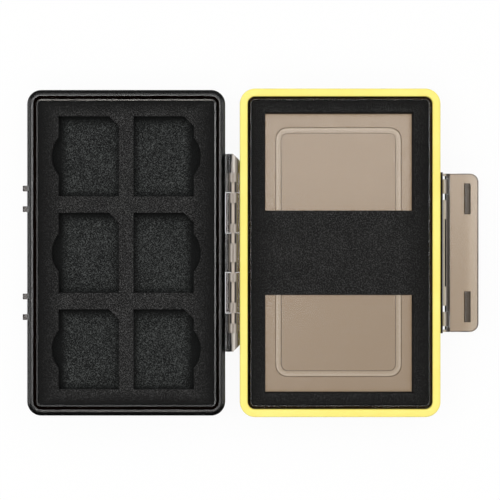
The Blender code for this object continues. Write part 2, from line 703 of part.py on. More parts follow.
def make_latch(parts, cutters, material):
    """The flap with its barrel, ears and bars, in a frame on its pivot, lying out flat."""
    low = LATCH_FACE - LATCH_THICKNESS
    plate = flat_outline("latch", [latch_plate_outline()], low, LATCH_FACE, parts)
    latch = solid_from_curve(plate, parts)
    half_barrel = LATCH_BARREL_LENGTH / 2
    half = LATCH_LENGTH / 2
    before_lug = (LUG_PITCH - LUG_WIDTH) / 2 - CLEARANCE
    past_lug = (LUG_PITCH + LUG_WIDTH) / 2 + CLEARANCE
    joined = [turned_along_y("latch_barrel", 0.0, 0.0, (-half_barrel, half_barrel),
                             (LATCH_BARREL_RADIUS, LATCH_BARREL_RADIUS), ROUND_SIDES, cutters),
              latch_neck("latch_neck", -before_lug, before_lug, low, cutters)]
    for start, end in both_ways(past_lug, half):
        joined.append(latch_neck("latch_ear_neck", start, end, low, cutters))
    for start, end in both_ways(half - EAR_WIDTH, half):
        joined.append(turned_along_y("latch_ear", 0.0, 0.0, (start, end),
                                     (EAR_RADIUS, EAR_RADIUS), ROUND_SIDES, cutters))
    slot_low = -SLOT_PLACE - SLOT_WIDTH / 2
    cut = [box("latch_slot", (slot_low, -SLOT_LENGTH / 2, LATCH_BARREL_RADIUS - SLOT_DEPTH),
               (slot_low + SLOT_WIDTH, SLOT_LENGTH / 2, LATCH_BARREL_RADIUS + OVERRUN), cutters)]
    for start, end in both_ways(half_barrel - LATCH_BORE_DEPTH, half + OVERRUN):
        cut.append(turned_along_y("latch_bore", 0.0, 0.0, (start, end),
                                  (LATCH_BORE_RADIUS, LATCH_BORE_RADIUS), SMALL_SIDES, cutters))
    for side in (-1, 1):
        joined.append(make_bar(side * HOOK_PAIR_PITCH / 2, cutters))
    boolean(latch, "UNION", joined, cutters)
    boolean(latch, "DIFFERENCE", cut, cutters)
    keep_flats_flat(latch)
    latch.data.materials.append(material)
    return latch


def make_bar(y, cutters):
    """A bar that hooks behind a pair of the lid's hooks, with a chamfer round its face."""
    top = LATCH_FACE + BAR_HEIGHT
    end = BAR_START + BAR_WIDTH
    outline = [(BAR_START, LATCH_FACE - LATCH_THICKNESS / 2), (end, LATCH_FACE - LATCH_THICKNESS / 2),
               (end, top - BAR_EDGE), (end - BAR_EDGE, top), (BAR_START, top)]
    return prism_along_y("bar", outline, y - BAR_LENGTH / 2, y + BAR_LENGTH / 2, cutters)


def foam_outline():
    radius = max(CORNER_RADIUS - FOAM_INSET, LEAST_RADIUS)
    return rounded_outline(FOAM_WIDTH / 2, FOAM_LENGTH / 2, radius)


def make_base_foam(parts, material):
    """The frame of foam with two battery windows and the plug's hole, in the base's frame."""
    window_y = MIDDLE_BAR / 2 + WINDOW_LENGTH / 2
    outlines = [foam_outline(), window_outline(-WINDOW_SHIFT, window_y),
                window_outline(-WINDOW_SHIFT, -window_y), plug_outline(-PLUG_SHIFT, 0.0)]
    foam = flat_outline("base_foam", outlines, FOAM_BOTTOM, FOAM_TOP, parts)
    foam.data.materials.append(material)
    return foam


def make_foam_plug(parts, material):
    outline = plug_outline(-PLUG_SHIFT, CLEARANCE)
    plug = flat_outline("foam_plug", [outline], FOAM_BOTTOM, FOAM_TOP, parts)
    plug.data.materials.append(material)
    return plug


def make_lid_foam(parts, material):
    """The card layer with its two columns of three pockets, notched toward the outside."""
    outlines = [foam_outline()]
    for column in (-1, 1):
        for row in (-1, 0, 1):
            outlines.append(pocket_outline(column * (POCKET_WIDTH + COLUMN_WALL) / 2,
                                           row * (POCKET_LENGTH + ROW_WALL), column))
    foam = flat_outline("lid_foam", outlines, CARD_LAYER_BOTTOM, FOAM_TOP, parts)
    foam.data.materials.append(material)
    return foam


def make_lid_backing(parts, material):
    top = CARD_LAYER_BOTTOM - CLEARANCE
    backing = flat_outline("lid_foam_backing", [foam_outline()], FOAM_BOTTOM, top, parts)
    backing.data.materials.append(material)
    return backing


def make_empty(name, location, parts):
    empty = bpy.data.objects.new(name, None)
    empty.location = location
    parts.objects.link(empty)
    return empty


def main():
    clear_scene()
    scene = bpy.context.scene.collection
    parts = bpy.data.collections.new("battery_case")
    cutters = bpy.data.collections.new("cutters")
    scene.children.link(parts)
    scene.children.link(cutters)

    smoke = make_material("smoke_plastic", (0.20, 0.16, 0.12), 0.12, transmission=0.8)
    black = make_material("dark_plastic", (0.02, 0.02, 0.018), 0.18)
    silicone = make_material("yellow_silicone", (0.92, 0.78, 0.14), 0.45)
    steel = make_material("pin_steel", (0.55, 0.52, 0.48), 0.25, metallic=1.0)
    foam = make_material("black_foam", (0.018, 0.018, 0.018), 0.95)

    base = make_empty("base_frame", (BASE_X, 0.0, 0.0), parts)
    lid_axis = make_empty("lid_hinge_axis", (PIN_X, 0.0, PIN_HEIGHT), parts)
    lid = make_empty("lid_frame", (-PIN_FROM_CENTRE, 0.0, -PIN_HEIGHT), parts)
    lid.parent = lid_axis
    latch_axis = make_empty("latch_axis", (LATCH_X, 0.0, LATCH_Z), parts)

    make_base_shell(parts, cutters, smoke).parent = base
    make_gasket(parts, silicone).parent = base
    make_base_foam(parts, foam).parent = base
    make_foam_plug(parts, foam).parent = base
    make_lid_shell(parts, cutters, black).parent = lid
    make_lid_foam(parts, foam).parent = lid
    make_lid_backing(parts, foam).parent = lid
    make_hinge_pin(parts, steel).location = lid_axis.location
    make_latch(parts, cutters, smoke).parent = latch_axis
    for name, side in (("latch_pin_upper", 1), ("latch_pin_lower", -1)):
        make_latch_pin(name, side, parts, steel).location = latch_axis.location


main()
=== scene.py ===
# %% [markdown]
# # A battery case lying open, seen from straight above
#
# The real object is a hard case of smoky see-through plastic. Its right half holds two camera
# batteries in black foam, its left half six memory cards, and a yellow silicone gasket seals the
# two when they are shut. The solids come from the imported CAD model, which is the fixed frame
# here: they say where each piece is and how it moves. This script dresses them, piece by piece.

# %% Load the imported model
import json
from math import pi

import bmesh
import bpy
import numpy as np
from mathutils import Matrix, Vector
from mathutils.geometry import tessellate_polygon


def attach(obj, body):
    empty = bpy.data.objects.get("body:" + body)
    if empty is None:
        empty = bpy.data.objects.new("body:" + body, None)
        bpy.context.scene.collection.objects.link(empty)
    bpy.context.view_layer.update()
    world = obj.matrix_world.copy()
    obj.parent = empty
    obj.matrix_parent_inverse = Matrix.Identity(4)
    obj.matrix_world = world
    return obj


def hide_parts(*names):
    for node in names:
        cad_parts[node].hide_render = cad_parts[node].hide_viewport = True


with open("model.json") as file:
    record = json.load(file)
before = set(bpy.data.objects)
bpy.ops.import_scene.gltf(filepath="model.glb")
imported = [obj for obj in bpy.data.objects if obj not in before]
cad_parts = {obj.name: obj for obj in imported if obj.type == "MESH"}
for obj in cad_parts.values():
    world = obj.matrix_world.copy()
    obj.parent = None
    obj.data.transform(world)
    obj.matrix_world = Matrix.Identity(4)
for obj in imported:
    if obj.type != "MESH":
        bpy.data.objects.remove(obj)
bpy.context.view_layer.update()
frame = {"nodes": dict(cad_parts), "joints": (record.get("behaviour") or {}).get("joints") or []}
print("CAD nodes:", ", ".join(sorted(frame["nodes"])))

# %% [markdown]
# ## Sizes and places
#
# Every length is in metres. The sizes are the real case's: a tray is 80 by 131.6 by 21.5 mm. The
# two axes that things turn on are read from the record's joints, so they can't drift from it.

# %% Sizes of the trays, and the places of the two axes
TRAY_WIDTH = 0.0800
TRAY_LENGTH = 0.1316
TRAY_DEPTH = 0.0215
CORNER_RADIUS = 0.0057
CLEARANCE = 0.0003
HINGE_OFFSET = 0.0032
LATCH_OFFSET = 0.0028

axes = {joint["name"]: joint["pos_m"] for joint in frame["joints"]}
PIN_X, _, PIN_Z = axes["lid_hinge"]
LATCH_X, _, LATCH_Z = axes["latch_pivot"]
HINGE_AXIS = (PIN_X, PIN_Z)
LATCH_AXIS = (LATCH_X, LATCH_Z)
BASE_X = PIN_X + HINGE_OFFSET + TRAY_WIDTH / 2
LID_X = PIN_X - HINGE_OFFSET - TRAY_WIDTH / 2
print("hinge pin at x %.1f z %.2f mm, base at x %.1f mm, lid at x %.1f mm"
      % (PIN_X * 1000, PIN_Z * 1000, BASE_X * 1000, LID_X * 1000))

# %% [markdown]
# ## Shader helpers
#
# Each finish is a Principled shader whose colour, roughness and bump come from small patterns.
# What several finishes share, such as the fine waves of moulded plastic or the cells of foam, is
# a node group with named sockets, built once. A few short helpers keep the node code readable.

# %% Helpers that make and join nodes
def add_node(tree, kind, **settings):
    """A new node with its settings made."""
    node = tree.nodes.new(kind)
    for name, value in settings.items():
        setattr(node, name, value)
    return node


def feed(tree, socket, value):
    """Give an input its value, or the output of another node."""
    if isinstance(value, bpy.types.NodeSocket):
        tree.links.new(value, socket)
    else:
        socket.default_value = value


def set_inputs(tree, node, **values):
    """Feed a node's inputs by name, with _ for a space."""
    for name, value in values.items():
        feed(tree, node.inputs[name.replace("_", " ")], value)


def math_node(tree, operation, *operands):
    """The result of a Math node, whose operands are outputs or numbers."""
    node = add_node(tree, "ShaderNodeMath", operation=operation)
    for socket, value in zip(node.inputs, operands):
        feed(tree, socket, value)
    return node.outputs[0]


def weighted_sum(tree, *terms):
    """The sum of some outputs, each times its weight."""
    total = 0.0
    for value, weight in terms:
        total = math_node(tree, "MULTIPLY_ADD", value, weight, total)
    return total


print("node helpers ready")


# %% Helpers for patterns and colours
def noise(tree, place, scale, detail=2.0, roughness=0.5):
    """The 0 to 1 value of a Noise node read at a place."""
    node = add_node(tree, "ShaderNodeTexNoise")
    set_inputs(tree, node, Vector=place, Scale=scale, Detail=detail, Roughness=roughness)
    return node.outputs["Fac"]


def spread(tree, value, low, high, to_low=0.0, to_high=1.0):
    """Map Range from low..high to another range, cut off at its ends."""
    node = add_node(tree, "ShaderNodeMapRange")
    set_inputs(tree, node, Value=value, From_Min=low, From_Max=high, To_Min=to_low,
               To_Max=to_high)
    return node.outputs[0]


def object_place(tree):
    """The place of a point in its object's own coordinates."""
    return add_node(tree, "ShaderNodeTexCoord").outputs["Object"]


def parts_of(tree, vector):
    """The X, Y and Z of a vector."""
    node = add_node(tree, "ShaderNodeSeparateXYZ")
    tree.links.new(vector, node.inputs[0])
    return node.outputs


def colour_ramp(tree, value, *stops):
    """A colour for a value, between stops of (value, colour)."""
    node = add_node(tree, "ShaderNodeValToRGB")
    elements = node.color_ramp.elements
    while len(elements) < len(stops):
        elements.new(1.0)
    for element, (position, colour) in zip(elements, stops):
        element.position = position
        element.color = (*colour, 1.0)
    tree.links.new(value, node.inputs["Fac"])
    return node.outputs["Color"]


def add_bump(tree, shader, height, strength, distance):
    """Tilt a shader's surface by a height."""
    node = add_node(tree, "ShaderNodeBump")
    set_inputs(tree, node, Height=height, Strength=strength, Distance=distance)
    tree.links.new(node.outputs["Normal"], shader.inputs["Normal"])


print("pattern helpers ready")


# %% New node groups and materials
def new_group(name, inputs, outputs):
    """A node group of floats, the outputs of its input node, and its output node."""
    tree = bpy.data.node_groups.new(name, "ShaderNodeTree")
    for socket, value in inputs.items():
        made = tree.interface.new_socket(socket, in_out="INPUT", socket_type="NodeSocketFloat")
        made.default_value = value
    for socket in outputs:
        tree.interface.new_socket(socket, in_out="OUTPUT", socket_type="NodeSocketFloat")
    return tree, add_node(tree, "NodeGroupInput").outputs, add_node(tree, "NodeGroupOutput")


def new_material(name, **principled):
    """A material with a Principled shader, set by its inputs' names."""
    material = bpy.data.materials.new(name)
    material.use_nodes = True
    shader = material.node_tree.nodes["Principled BSDF"]
    set_inputs(material.node_tree, shader, **principled)
    return material, material.node_tree, shader


print("makers of groups and materials ready")

# %% [markdown]
# ## Camera, light and floor
#
# The photograph was taken from about 1.5 m straight above, so the walls hardly show. Two soft
# boxes, over the near end and to the left, throw the short shadows in the pockets. Two more hang
# overhead, where the flat rims, the flap and the see-through floor mirror them. A low card on
# each side draws the thin bright lines along the rims. The sky fades toward the horizon and is
# stronger toward the far end. The floor under the case is plain white. The camera, the metal and
# the plastic see it as clean white through Light Path, the last two only near the case, since a
# real light table ends and its dark surroundings draw the plastic's edges. The floor still takes
# the case's shadow.

# %% Camera
PIXELS_PER_METRE = 2477.0
PHOTO_PIXELS = 500
FOCAL_LENGTH = 260.0
SENSOR_WIDTH = 36.0
CAMERA_X, CAMERA_Y = -0.00028, 0.00113

camera_data = bpy.data.cameras.new("camera")
camera_data.sensor_width = SENSOR_WIDTH
camera_data.lens = FOCAL_LENGTH
camera_data.clip_end = 10.0
view_width = PHOTO_PIXELS / PIXELS_PER_METRE
camera_distance = view_width * FOCAL_LENGTH / SENSOR_WIDTH
camera = bpy.data.objects.new("camera", camera_data)
camera.location = (CAMERA_X, CAMERA_Y, TRAY_DEPTH + camera_distance)
bpy.context.scene.collection.objects.link(camera)
bpy.context.scene.camera = camera
bpy.context.scene.view_settings.view_transform = "Standard"
print("the camera is %.2f m up and sees %.0f mm across" % (camera.location.z, view_width * 1000))

# %% Soft boxes: a name, a place, a size, a power in watts and a tint
WHITE = (1.0, 1.0, 1.0)
SOFT_BOXES = [
    ("front_box", (-0.10, -0.53, 1.45), (0.50, 0.25), 2.6, (1.0, 0.96, 0.88)),
    ("left_box", (-0.67, 0.10, 1.45), (0.25, 0.34), 2.0, WHITE),
    ("left_card", (-1.2, 0.10, 0.42), (0.35, 0.90), 1.6, WHITE),
    ("right_card", (1.2, 0.10, 0.42), (0.35, 0.90), 1.4, WHITE),
    ("over_lid", (-0.22, 0.10, 1.75), (0.43, 0.42), 2.2, WHITE),
    ("over_base", (0.235, 0.13, 1.75), (0.45, 0.23), 1.05, (1.0, 0.93, 0.88))]


def soft_box(name, place, size, power, tint):
    """A rectangular lamp that looks at the middle of the case."""
    lamp = bpy.data.lights.new(name, "AREA")
    lamp.shape = "RECTANGLE"
    lamp.size, lamp.size_y = size
    lamp.energy = power
    lamp.color = tint
    item = bpy.data.objects.new(name, lamp)
    item.location = place
    back = Vector(place).normalized()
    side = Vector((0.0, 1.0, 0.0)).cross(back).normalized()
    item.rotation_euler = Matrix((side, back.cross(side), back)).transposed().to_euler()
    bpy.context.scene.collection.objects.link(item)


for row in SOFT_BOXES:
    soft_box(*row)
print("lamps:", ", ".join(row[0] for row in SOFT_BOXES))

# %% Sky, whose strength runs from low to high between a slope and straight up
SKY_SLOPE, SKY_LOW, SKY_HIGH, SKY_LEAN = 0.4, 0.14, 1.42, 0.6
world = bpy.data.worlds.new("studio")
bpy.context.scene.world = world
world.use_nodes = True
tree = world.node_tree
toward = parts_of(tree, add_node(tree, "ShaderNodeTexCoord").outputs["Generated"])
fade = spread(tree, toward["Z"], SKY_SLOPE, 1.0, SKY_LOW, SKY_HIGH)
lean = math_node(tree, "MULTIPLY_ADD", toward["Y"], SKY_LEAN, 1.0)
set_inputs(tree, tree.nodes["Background"], Color=(*WHITE, 1.0),
           Strength=math_node(tree, "MULTIPLY", fade, lean))
print("the sky's strength is %.2f low down and %.2f straight up" % (SKY_LOW, SKY_HIGH))

# %% Floor
FLOOR_HALF = 3.0
FLOOR_HEIGHT = -0.00005
FLOOR_OWN_LIGHT_SHARE = 0.94
TABLE_NEAR, TABLE_FAR, TABLE_FAR_LIGHT = 0.16, 0.45, 0.12

floor_material, tree, shader = new_material(
    "floor", Base_Color=(0.9, 0.9, 0.9, 1.0), Roughness=0.9, Specular_IOR_Level=0.0)
light_path = add_node(tree, "ShaderNodeLightPath").outputs
away = add_node(tree, "ShaderNodeVectorMath", operation="LENGTH")
tree.links.new(object_place(tree), away.inputs[0])
near = spread(tree, away.outputs["Value"], TABLE_NEAR, TABLE_FAR, 1.0, TABLE_FAR_LIGHT)
seen = math_node(tree, "MAXIMUM", light_path["Is Glossy Ray"], light_path["Is Transmission Ray"])
seen = math_node(tree, "MAXIMUM", math_node(tree, "MULTIPLY", seen, near),
                 light_path["Is Camera Ray"])
white = add_node(tree, "ShaderNodeEmission")
set_inputs(tree, white, Color=(*WHITE, 1.0), Strength=1.0)
mixed = add_node(tree, "ShaderNodeMixShader")
for socket, value in zip(mixed.inputs, (math_node(tree, "MULTIPLY", seen, FLOOR_OWN_LIGHT_SHARE),
                                        shader.outputs[0], white.outputs[0])):
    tree.links.new(value, socket)
tree.links.new(mixed.outputs[0], tree.nodes["Material Output"].inputs["Surface"])

floor_mesh = bpy.data.meshes.new("floor")
floor_mesh.from_pydata([(FLOOR_HALF * x, FLOOR_HALF * y, FLOOR_HEIGHT)
                        for x, y in ((-1, -1), (1, -1), (1, 1), (-1, 1))], [], [(0, 1, 2, 3)])
floor_mesh.materials.append(floor_material)
floor = bpy.data.objects.new("floor", floor_mesh)
bpy.context.scene.collection.objects.link(floor)
print("floor %.0f m wide" % (2 * FLOOR_HALF))

# %% [markdown]
# ## The finishes
#
# Polished smoke polycarbonate is glass to the renderer: light goes through it, and what is
# behind shows brown. Rubbed marks make it a little rougher in places, and on the barrels, the
# end blocks' crests and the lugs a slow wave and a faint grain tilt the surface too.

# %% Node group: moulded plastic
moulded, given, outside = new_group(
    "moulded plastic", {"Wave size": 60.0, "Grain size": 1400.0, "Wave": 0.4, "Grain": 0.05,
                        "Least roughness": 0.13, "Most roughness": 0.19},
    ["Roughness", "Height"])
place = object_place(moulded)
wave = noise(moulded, place, given["Wave size"], detail=1.0)
grain = noise(moulded, place, given["Grain size"], detail=3.0, roughness=0.6)
rubbed = noise(moulded, place, scale=260.0, detail=6.0, roughness=0.7)
set_inputs(moulded, outside,
           Height=weighted_sum(moulded, (wave, given["Wave"]), (grain, given["Grain"])),
           Roughness=spread(moulded, rubbed, 0.45, 0.75, given["Least roughness"],
                            given["Most roughness"]))
print("group:", moulded.name)

# %% Smoke plastics
SMOKE_COLOUR = (0.395, 0.226, 0.0, 1.0)
SMOKE_DENSITY = 757.0
MOULDED_TILT = 0.02
MOULDED_TILT_DISTANCE = 0.0002


def plastic(name, smoke, clear=1.0, tint=WHITE, shine=0.5, bump=0.0, **roughness):
    """Clear glass filled with some times as much smoke as SMOKE_DENSITY, which takes blue first.

    A wall of thickness t lets through exp(-t density (1 - colour)) of each colour. Where the
    plastic is less than clear, the rest of its light is scattered, in the tint's colour."""
    material, tree, shader = new_material(
        name, Base_Color=(*tint, 1.0), IOR=1.5, Transmission_Weight=clear,
        Specular_IOR_Level=shine)
    filling = add_node(tree, "ShaderNodeVolumeAbsorption")
    set_inputs(tree, filling, Color=SMOKE_COLOUR, Density=SMOKE_DENSITY * smoke)
    tree.links.new(filling.outputs[0], tree.nodes["Material Output"].inputs["Volume"])
    surface = add_node(tree, "ShaderNodeGroup", node_tree=moulded)
    set_inputs(tree, surface, **roughness)
    tree.links.new(surface.outputs["Roughness"], shader.inputs["Roughness"])
    if bump:
        add_bump(tree, shader, surface.outputs["Height"], bump, MOULDED_TILT_DISTANCE)
    print("plastic:", name)
    return material


smoke_plastic = plastic("smoke_plastic", 1.28)
latch_plastic = plastic("latch_plastic", 1.8)
# shelf_plastic and deep_plastic hold extra smoke so that the hinge's plates, arms and webs read
# dark: painted shade, for the shade under the hinge.
shelf_plastic = plastic("shelf_plastic", 2.8)
deep_plastic = plastic("deep_plastic", 4.0)
dark_plastic = plastic("dark_plastic", 4.0, Least_roughness=0.22, Most_roughness=0.25)
barrel_plastic = plastic("barrel_plastic", 1.6, clear=0.45, bump=MOULDED_TILT)
crest_plastic = plastic("crest_plastic", 1.6, clear=0.35, bump=MOULDED_TILT)
knuckle_plastic = plastic("knuckle_plastic", 1.6, clear=0.35, bump=MOULDED_TILT)
bar_plastic = plastic("bar_plastic", 4.5, clear=0.5, tint=(0.09, 0.062, 0.035), shine=0.15)
# The last two are opaque near-black finishes for painted shade, for the dark strips, rings and
# lines put where shade falls.
slot_plastic = plastic("slot_plastic", 12.0, clear=0.0, tint=(0.006, 0.005, 0.004), shine=0.1)
edge_plastic = plastic("edge_plastic", 12.0, clear=0.0, tint=(0.030, 0.025, 0.020), shine=0.15)


# %% Painted highlights and shade across a barrel
def paint_light_across(material, axis_x, reach, *stops):
    """Colour a material by how far to the left or right of an axis a point lies.

    This paints highlights and shade into the colour, which the lamps alone don't give. The stops
    are (share of the way from one reach left of the axis to one reach right, colour)."""
    tree = material.node_tree
    across = spread(tree, parts_of(tree, object_place(tree))["X"], axis_x - reach,
                    axis_x + reach)
    set_inputs(tree, tree.nodes["Principled BSDF"], Base_Color=colour_ramp(tree, across, *stops))
    print(material.name, "is light_painted within %.2f mm of its axis" % (reach * 1000))


# The barrels, the end blocks' crests, the lugs and the latch's barrel get painted highlights on
# their flanks and painted shade beside them.
HINGE_PAINT_REACH = 0.0024
LATCH_PAINT_REACH = 0.00125
paint_light_across(barrel_plastic, PIN_X, HINGE_PAINT_REACH,
             (0.0, (0.08, 0.07, 0.06)), (0.2, (0.26, 0.23, 0.19)), (0.38, (0.72, 0.64, 0.56)),
             (0.46, (0.52, 0.45, 0.39)), (0.54, (0.55, 0.48, 0.42)), (0.63, (0.86, 0.77, 0.68)),
             (0.78, (0.36, 0.31, 0.25)), (1.0, (0.10, 0.08, 0.05)))
paint_light_across(crest_plastic, PIN_X, HINGE_PAINT_REACH,
             (0.38, (0.16, 0.14, 0.12)), (0.48, (0.50, 0.45, 0.39)), (0.61, (0.95, 0.88, 0.80)),
             (0.70, (0.42, 0.37, 0.32)), (0.82, (0.30, 0.26, 0.21)), (0.94, (0.05, 0.04, 0.03)))
paint_light_across(knuckle_plastic, LATCH_X, LATCH_PAINT_REACH,
             (0.0, (0.42, 0.37, 0.31)), (0.15, (0.85, 0.78, 0.69)), (0.33, (0.72, 0.64, 0.56)),
             (0.50, (0.30, 0.26, 0.22)), (0.66, (0.13, 0.11, 0.09)), (0.82, (0.05, 0.04, 0.035)))

# %% [markdown]
# Silicone is a soft matt rubber that glows a little where light gets into it. Its yellow is
# strong, slightly cloudy, and takes a fine bloom of dust that dulls it in patches.

# %% Yellow silicone
yellow_silicone, tree, shader = new_material(
    "yellow_silicone", IOR=1.41, Subsurface_Weight=0.12, Subsurface_Scale=0.001)
place = object_place(tree)
cloud = noise(tree, place, scale=55.0, detail=3.0)
bloom = noise(tree, place, scale=900.0, detail=4.0, roughness=0.7)
set_inputs(tree, shader, Roughness=spread(tree, bloom, 0.35, 0.7, 0.36, 0.55),
           Base_Color=colour_ramp(tree, cloud, (0.3, (0.93, 0.795, 0.17)),
                                  (0.7, (0.955, 0.85, 0.215))))
add_bump(tree, shader, noise(tree, place, scale=2200.0, detail=3.0), strength=0.12,
         distance=0.0001)
print("rubber:", yellow_silicone.name)

# %% [markdown]
# The foam is closed-cell and black, cut from sheet. Its skin is a crowd of cell walls, so it
# looks grainy: some cells catch the light, others are dark pits. Cells are about half a
# millimetre. The same group makes the top, the cut sides and the pockets' floor, each with its
# own depth and brightness.

# %% Node group: foam cells
foam_cells, given, outside = new_group("foam cells", {"Cells per metre": 2300.0},
                                       ["Speckle", "Height"])
place = object_place(foam_cells)
cells = add_node(foam_cells, "ShaderNodeTexVoronoi", feature="F1")
set_inputs(foam_cells, cells, Vector=place, Scale=given["Cells per metre"])
pit = cells.outputs["Distance"]
fine = noise(foam_cells, place, math_node(foam_cells, "MULTIPLY", given["Cells per metre"], 1.2),
             detail=3.0, roughness=0.75)
broad = noise(foam_cells, place, scale=130.0, detail=3.0)
speckle = weighted_sum(foam_cells, (fine, 0.75), (pit, 0.35), (broad, 0.07))
set_inputs(foam_cells, outside, Speckle=spread(foam_cells, speckle, 0.54, 0.79),
           Height=math_node(foam_cells, "ADD", fine, pit))
print("group:", foam_cells.name)

# %% Where the foam gets painted shade
FOAM_HALF_X = 0.03558
FOAM_HALF_Y = 0.06138
PRESSED_REACH = 0.011
POCKET_SHADE_REACH = 0.0032
POCKET_SHADE_SHIFT = 0.0008
POCKET_HALF_X = 0.0122
POCKET_HALF_Y = 0.0162
COLUMN_PITCH = 0.0303
ROW_PITCH = 0.0390


def apart(tree, value, other):
    """How far a value is from another."""
    return math_node(tree, "ABSOLUTE", math_node(tree, "SUBTRACT", value, other))


def inside_block(tree, place, centre_x):
    """How far a point is inside the block: the way to its side, or twice the way to its end."""
    from_side = math_node(tree, "SUBTRACT", FOAM_HALF_X, apart(tree, place["X"], centre_x))
    from_end = math_node(tree, "SUBTRACT", FOAM_HALF_Y, apart(tree, place["Y"], 0.0))
    return math_node(tree, "MINIMUM", from_side, math_node(tree, "MULTIPLY", from_end, 2.0))


def inside_pocket(tree, place, centre_x):
    """How far a point is inside its card pocket, POCKET_SHADE_SHIFT less at the far and outer side."""
    # The shift makes the painted shade reach further from each pocket's far and outer walls.
    row = math_node(tree, "WRAP", place["Y"], ROW_PITCH / 2, -ROW_PITCH / 2)
    from_row = apart(tree, row, -POCKET_SHADE_SHIFT)
    from_column = apart(tree, apart(tree, place["X"], centre_x), COLUMN_PITCH / 2 - POCKET_SHADE_SHIFT)
    return math_node(tree, "MINIMUM", math_node(tree, "SUBTRACT", POCKET_HALF_X, from_column),
                     math_node(tree, "SUBTRACT", POCKET_HALF_Y, from_row))


print("foam is pressed within %.0f mm of its sides" % (PRESSED_REACH * 1000))


# %% Black foam
def foam_finish(name, dark, light, bump, centre_x, at_wall, under_cards=False):
    """Matt cells between two colours, dark in the pits and light on the walls.

    Toward the tray's sides the colour carries painted shade: it falls from all of the light
    colour, PRESSED_REACH inside the block, to a share of it at the wall. The floor under the cards
    gets painted shade from POCKET_SHADE_REACH inside each pocket to its walls instead."""
    material, tree, shader = new_material(name, Roughness=0.92, Specular_IOR_Level=0.25)
    cell = add_node(tree, "ShaderNodeGroup", node_tree=foam_cells).outputs
    place = parts_of(tree, object_place(tree))
    if under_cards:
        shaded = spread(tree, inside_pocket(tree, place, centre_x), 0.0, POCKET_SHADE_REACH, at_wall)
    else:
        shaded = spread(tree, inside_block(tree, place, centre_x), 0.0, PRESSED_REACH, at_wall)
    set_inputs(tree, shader, Base_Color=colour_ramp(
        tree, math_node(tree, "MULTIPLY", cell["Speckle"], shaded), (0.0, dark), (1.0, light)))
    add_bump(tree, shader, cell["Height"], bump, distance=0.0003)
    print("foam:", name)
    return material


PIT = (0.002, 0.002, 0.002)
battery_foam = foam_finish("battery_foam", PIT, (0.060, 0.060, 0.059), 0.8, BASE_X, 0.25)
card_foam = foam_finish("card_foam", PIT, (0.084, 0.084, 0.083), 0.8, LID_X, 0.0)
floor_foam = foam_finish("pocket_floor_foam", (0.002, 0.0025, 0.0025), (0.079, 0.085, 0.083), 0.7,
                         LID_X, 0.05, under_cards=True)

# %% [markdown]
# The hinge's pin is drawn steel wire. Drawing leaves streaks along the wire, so the noise is
# stretched along Y before it is read. The latch's two pins show only as dark dots.

# %% Drawn steel
black_steel = new_material("black_steel", Base_Color=(0.012, 0.010, 0.008, 1.0), Metallic=1.0,
                           Roughness=0.5)[0]
pin_steel, tree, shader = new_material("pin_steel", Metallic=1.0)
stretch = add_node(tree, "ShaderNodeMapping")
set_inputs(tree, stretch, Vector=object_place(tree), Scale=(1.0, 0.02, 1.0))
streak = noise(tree, stretch.outputs["Vector"], scale=9000.0, detail=3.0, roughness=0.6)
set_inputs(tree, shader, Roughness=spread(tree, streak, 0.3, 0.7, 0.72, 0.86),
           Base_Color=colour_ramp(tree, streak, (0.0, (0.62, 0.56, 0.50)),
                                  (1.0, (0.80, 0.73, 0.66))))
add_bump(tree, shader, streak, strength=0.1, distance=0.00005)
print("metal:", pin_steel.name, black_steel.name)

# %% [markdown]
# ## Shapes worked out as arrays
#
# A moulded tray could be a box with bevels and booleans. It is one cross-section carried round a
# rounded rectangle instead, because every step of its rim then keeps an even width round the
# corners, as the mould's cutter leaves it. A barrel of the hinge is likewise one section carried
# along the pin. So the helpers here are a rounded corner for a section, and the carrying.

# %% Sections with rounded corners
FILLET_STEPS = 6


def filleted(corners, closed=False):
    """A section's corners (across, up, radius) as a line with each corner rounded.

    A corner C with neighbours on both sides is replaced by the curve
    (1-t)^2 A + 2 t (1-t) C + t^2 B, where A and B lie one radius from C toward the neighbours,
    or half way to them if that is nearer."""
    corners = np.array(corners, float)
    point, reach = corners[:, :2], corners[:, 2:3]
    before, after = np.roll(point, 1, axis=0) - point, np.roll(point, -1, axis=0) - point
    length_before = np.linalg.norm(before, axis=1, keepdims=True)
    length_after = np.linalg.norm(after, axis=1, keepdims=True)
    start = point + before / length_before * np.minimum(reach, length_before / 2)
    end = point + after / length_after * np.minimum(reach, length_after / 2)
    t = np.linspace(0.0, 1.0, FILLET_STEPS + 1)[None, :, None]
    curve = ((1 - t) ** 2 * start[:, None] + 2 * t * (1 - t) * point[:, None]
             + t ** 2 * end[:, None])
    rounded = [curve[i] if reach[i, 0] > 0 else point[i:i + 1] for i in range(len(point))]
    if not closed:
        rounded[0], rounded[-1] = point[:1], point[-1:]
    return np.concatenate(rounded)


print("a rounded corner has", FILLET_STEPS + 1, "points")

# %% Rounded rectangles, one to a row
CORNER_STEPS = 16


def rounded_rings(half_x, half_y, radius, height, centre_x=0.0, centre_y=0.0):
    """Rows of points round rounded rectangles, anticlockwise.

    A point is the centre of its corner, one radius inside both sides, plus the radius times
    (cos a, sin a), where a runs a quarter turn in each of the four corners. Each row has its own
    half sizes, radius and height."""
    quarter = np.linspace(0.0, pi / 2, CORNER_STEPS + 1)
    angle = (np.array([-pi / 2, 0.0, pi / 2, pi])[:, None] + quarter).ravel()
    side_x = np.repeat([1.0, 1.0, -1.0, -1.0], CORNER_STEPS + 1)
    side_y = np.repeat([-1.0, 1.0, 1.0, -1.0], CORNER_STEPS + 1)
    half_x, half_y, radius, height = (np.asarray(value, float)[:, None]
                                      for value in (half_x, half_y, radius, height))
    x = centre_x + side_x * (half_x - radius) + radius * np.cos(angle)
    y = centre_y + side_y * (half_y - radius) + radius * np.sin(angle)
    return np.stack([x, y, np.broadcast_to(height, x.shape)], axis=-1)


print("a rounded rectangle has", 4 * (CORNER_STEPS + 1), "points")


